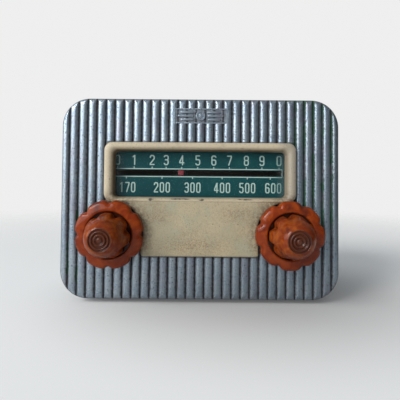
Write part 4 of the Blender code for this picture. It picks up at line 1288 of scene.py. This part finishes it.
def make_world():
    """Pale all round to the eye; what lights the radio is bright on the left and dark on the right."""
    world = bpy.data.worlds.new("studio")
    bpy.context.scene.world = world
    world.use_nodes = True
    tree = world.node_tree
    direction = wire(tree, "TexCoord", {}, "Generated")
    brightest = tuple(Vector(AMBIENT_FROM).normalized())
    toward = wire(tree, "VectorMath", {0: direction, 1: brightest}, "Value", operation="DOT_PRODUCT")
    dark, bright = AMBIENT_STRENGTH
    inputs = {"Value": toward, "From Min": -0.7, "From Max": 0.8, "To Min": dark, "To Max": bright}
    lit = wire(tree, "Background", {"Color": AMBIENT_COLOUR, "Strength": wire(tree, "MapRange", inputs)})
    seen = wire(tree, "Background", {"Color": BACKDROP_COLOUR})
    camera_ray = wire(tree, "LightPath", {}, "Is Camera Ray")
    sky = wire(tree, "MixShader", {0: camera_ray, 1: lit, 2: seen})
    fill(tree, tree.nodes["World Output"].inputs["Surface"], sky)


def light(name, kind, azimuth, elevation, distance, colour, **values):
    """A lamp aimed at the radio; azimuth is degrees to the left of straight in front."""
    data = bpy.data.lights.new(name, kind)
    data.color = colour
    for key, value in values.items():
        setattr(data, key, value)
    lamp = bpy.data.objects.new(name, data)
    bpy.context.scene.collection.objects.link(lamp)
    a, e = math.radians(azimuth), math.radians(elevation)
    away = Vector((-math.sin(a) * math.cos(e), -math.cos(a) * math.cos(e), math.sin(e)))
    lamp.location = Vector((0, 0, FACE_Z * MM)) + away * distance
    lamp.rotation_euler = away.to_track_quat("Z", "Y").to_euler()
    lamp.visible_camera = False


def make_camera():
    data = bpy.data.cameras.new("camera")
    data.lens = CAMERA_LENS
    data.sensor_width = CAMERA_SENSOR
    data.shift_y = CAMERA_SHIFT_UP
    data.clip_start = 0.01
    data.clip_end = 50
    camera = bpy.data.objects.new("camera", data)
    bpy.context.scene.collection.objects.link(camera)
    camera.location = [value * MM for value in CAMERA_PLACE]
    camera.rotation_euler = (math.pi / 2 + CAMERA_PITCH, CAMERA_ROLL, 0)
    bpy.context.scene.camera = camera


METAL = ribbed_metal()
HAMMERED = hammered_metal()
BOARD = pressed_board()
CREAM = cream_paint()
ORANGE = outer_knob_bakelite()
BROWN = inner_knob_bakelite()
TEAL = dial_enamel()
PRINT = dial_print()
GLASS = clear_glass()
LAMP_GLASS = tinted_glass("lamp_glass", (0.75, 0.72, 0.62), 0.3)
VALVE_GLASS = tinted_glass("valve_glass", (0.35, 0.37, 0.38), 0.45)
STEEL = bare_metal("plated_steel", (0.58, 0.57, 0.52), (0.4, 0.38, 0.32))
BRASS = bare_metal("brass", (0.66, 0.48, 0.2), (0.4, 0.26, 0.1))
ALUMINIUM = bare_metal("aluminium", (0.72, 0.73, 0.74), (0.52, 0.53, 0.54), 0.3, 0.48, (1, 6, 1))
RED = moulded("pointer_red", (0.17, 0.01, 0.018), (0.11, 0.007, 0.012), 0.5, dust=0.1)
BLUED = moulded("blued_steel", (0.005, 0.009, 0.024), (0.003, 0.006, 0.016), 0.6, dust=0.04)
CORD = waxed_cord()
BLACK = moulded("black_moulding", (0.022, 0.021, 0.02), (0.012, 0.012, 0.012), 0.38)
IRON = moulded("lacquered_iron", (0.07, 0.062, 0.058), (0.04, 0.036, 0.034), 0.45)
PAPER = moulded("cone_paper", (0.055, 0.048, 0.04), (0.032, 0.028, 0.025), 0.9, 0.12, 0.6)
RUBBER = moulded("rubber", (0.02, 0.02, 0.02), (0.011, 0.011, 0.011), 0.8, 0.06, 0.8)

make_front_casing()
make_nameplate_ornament()
make_escutcheon()
make_dial_print()
make_pointer()
make_outer_knob("tone_disc", "tone_knob", -1, 0)
make_outer_knob("selector_disc", "selector_knob", 1, 22.5)
make_inner_knob("volume_grip", "volume_knob", -1, 16)
make_inner_knob("tuning_grip", "tuning_knob", 1, 50)
make_rear_case()
make_rear_cover()
make_screws()
make_feet()
make_mains_inlet()
make_aerial_terminals()
finish_cad_nodes()

bpy.context.scene.view_settings.view_transform = "Standard"
make_stage()
make_world()
light("key", "SUN", 46, 33, 2, (1, 0.985, 0.96), energy=1.6, angle=math.radians(24))
light(
    "window", "AREA", 52, 18, 1.6, (0.94, 0.97, 1), energy=22, shape="RECTANGLE", size=2.4, size_y=0.9
)
make_camera()
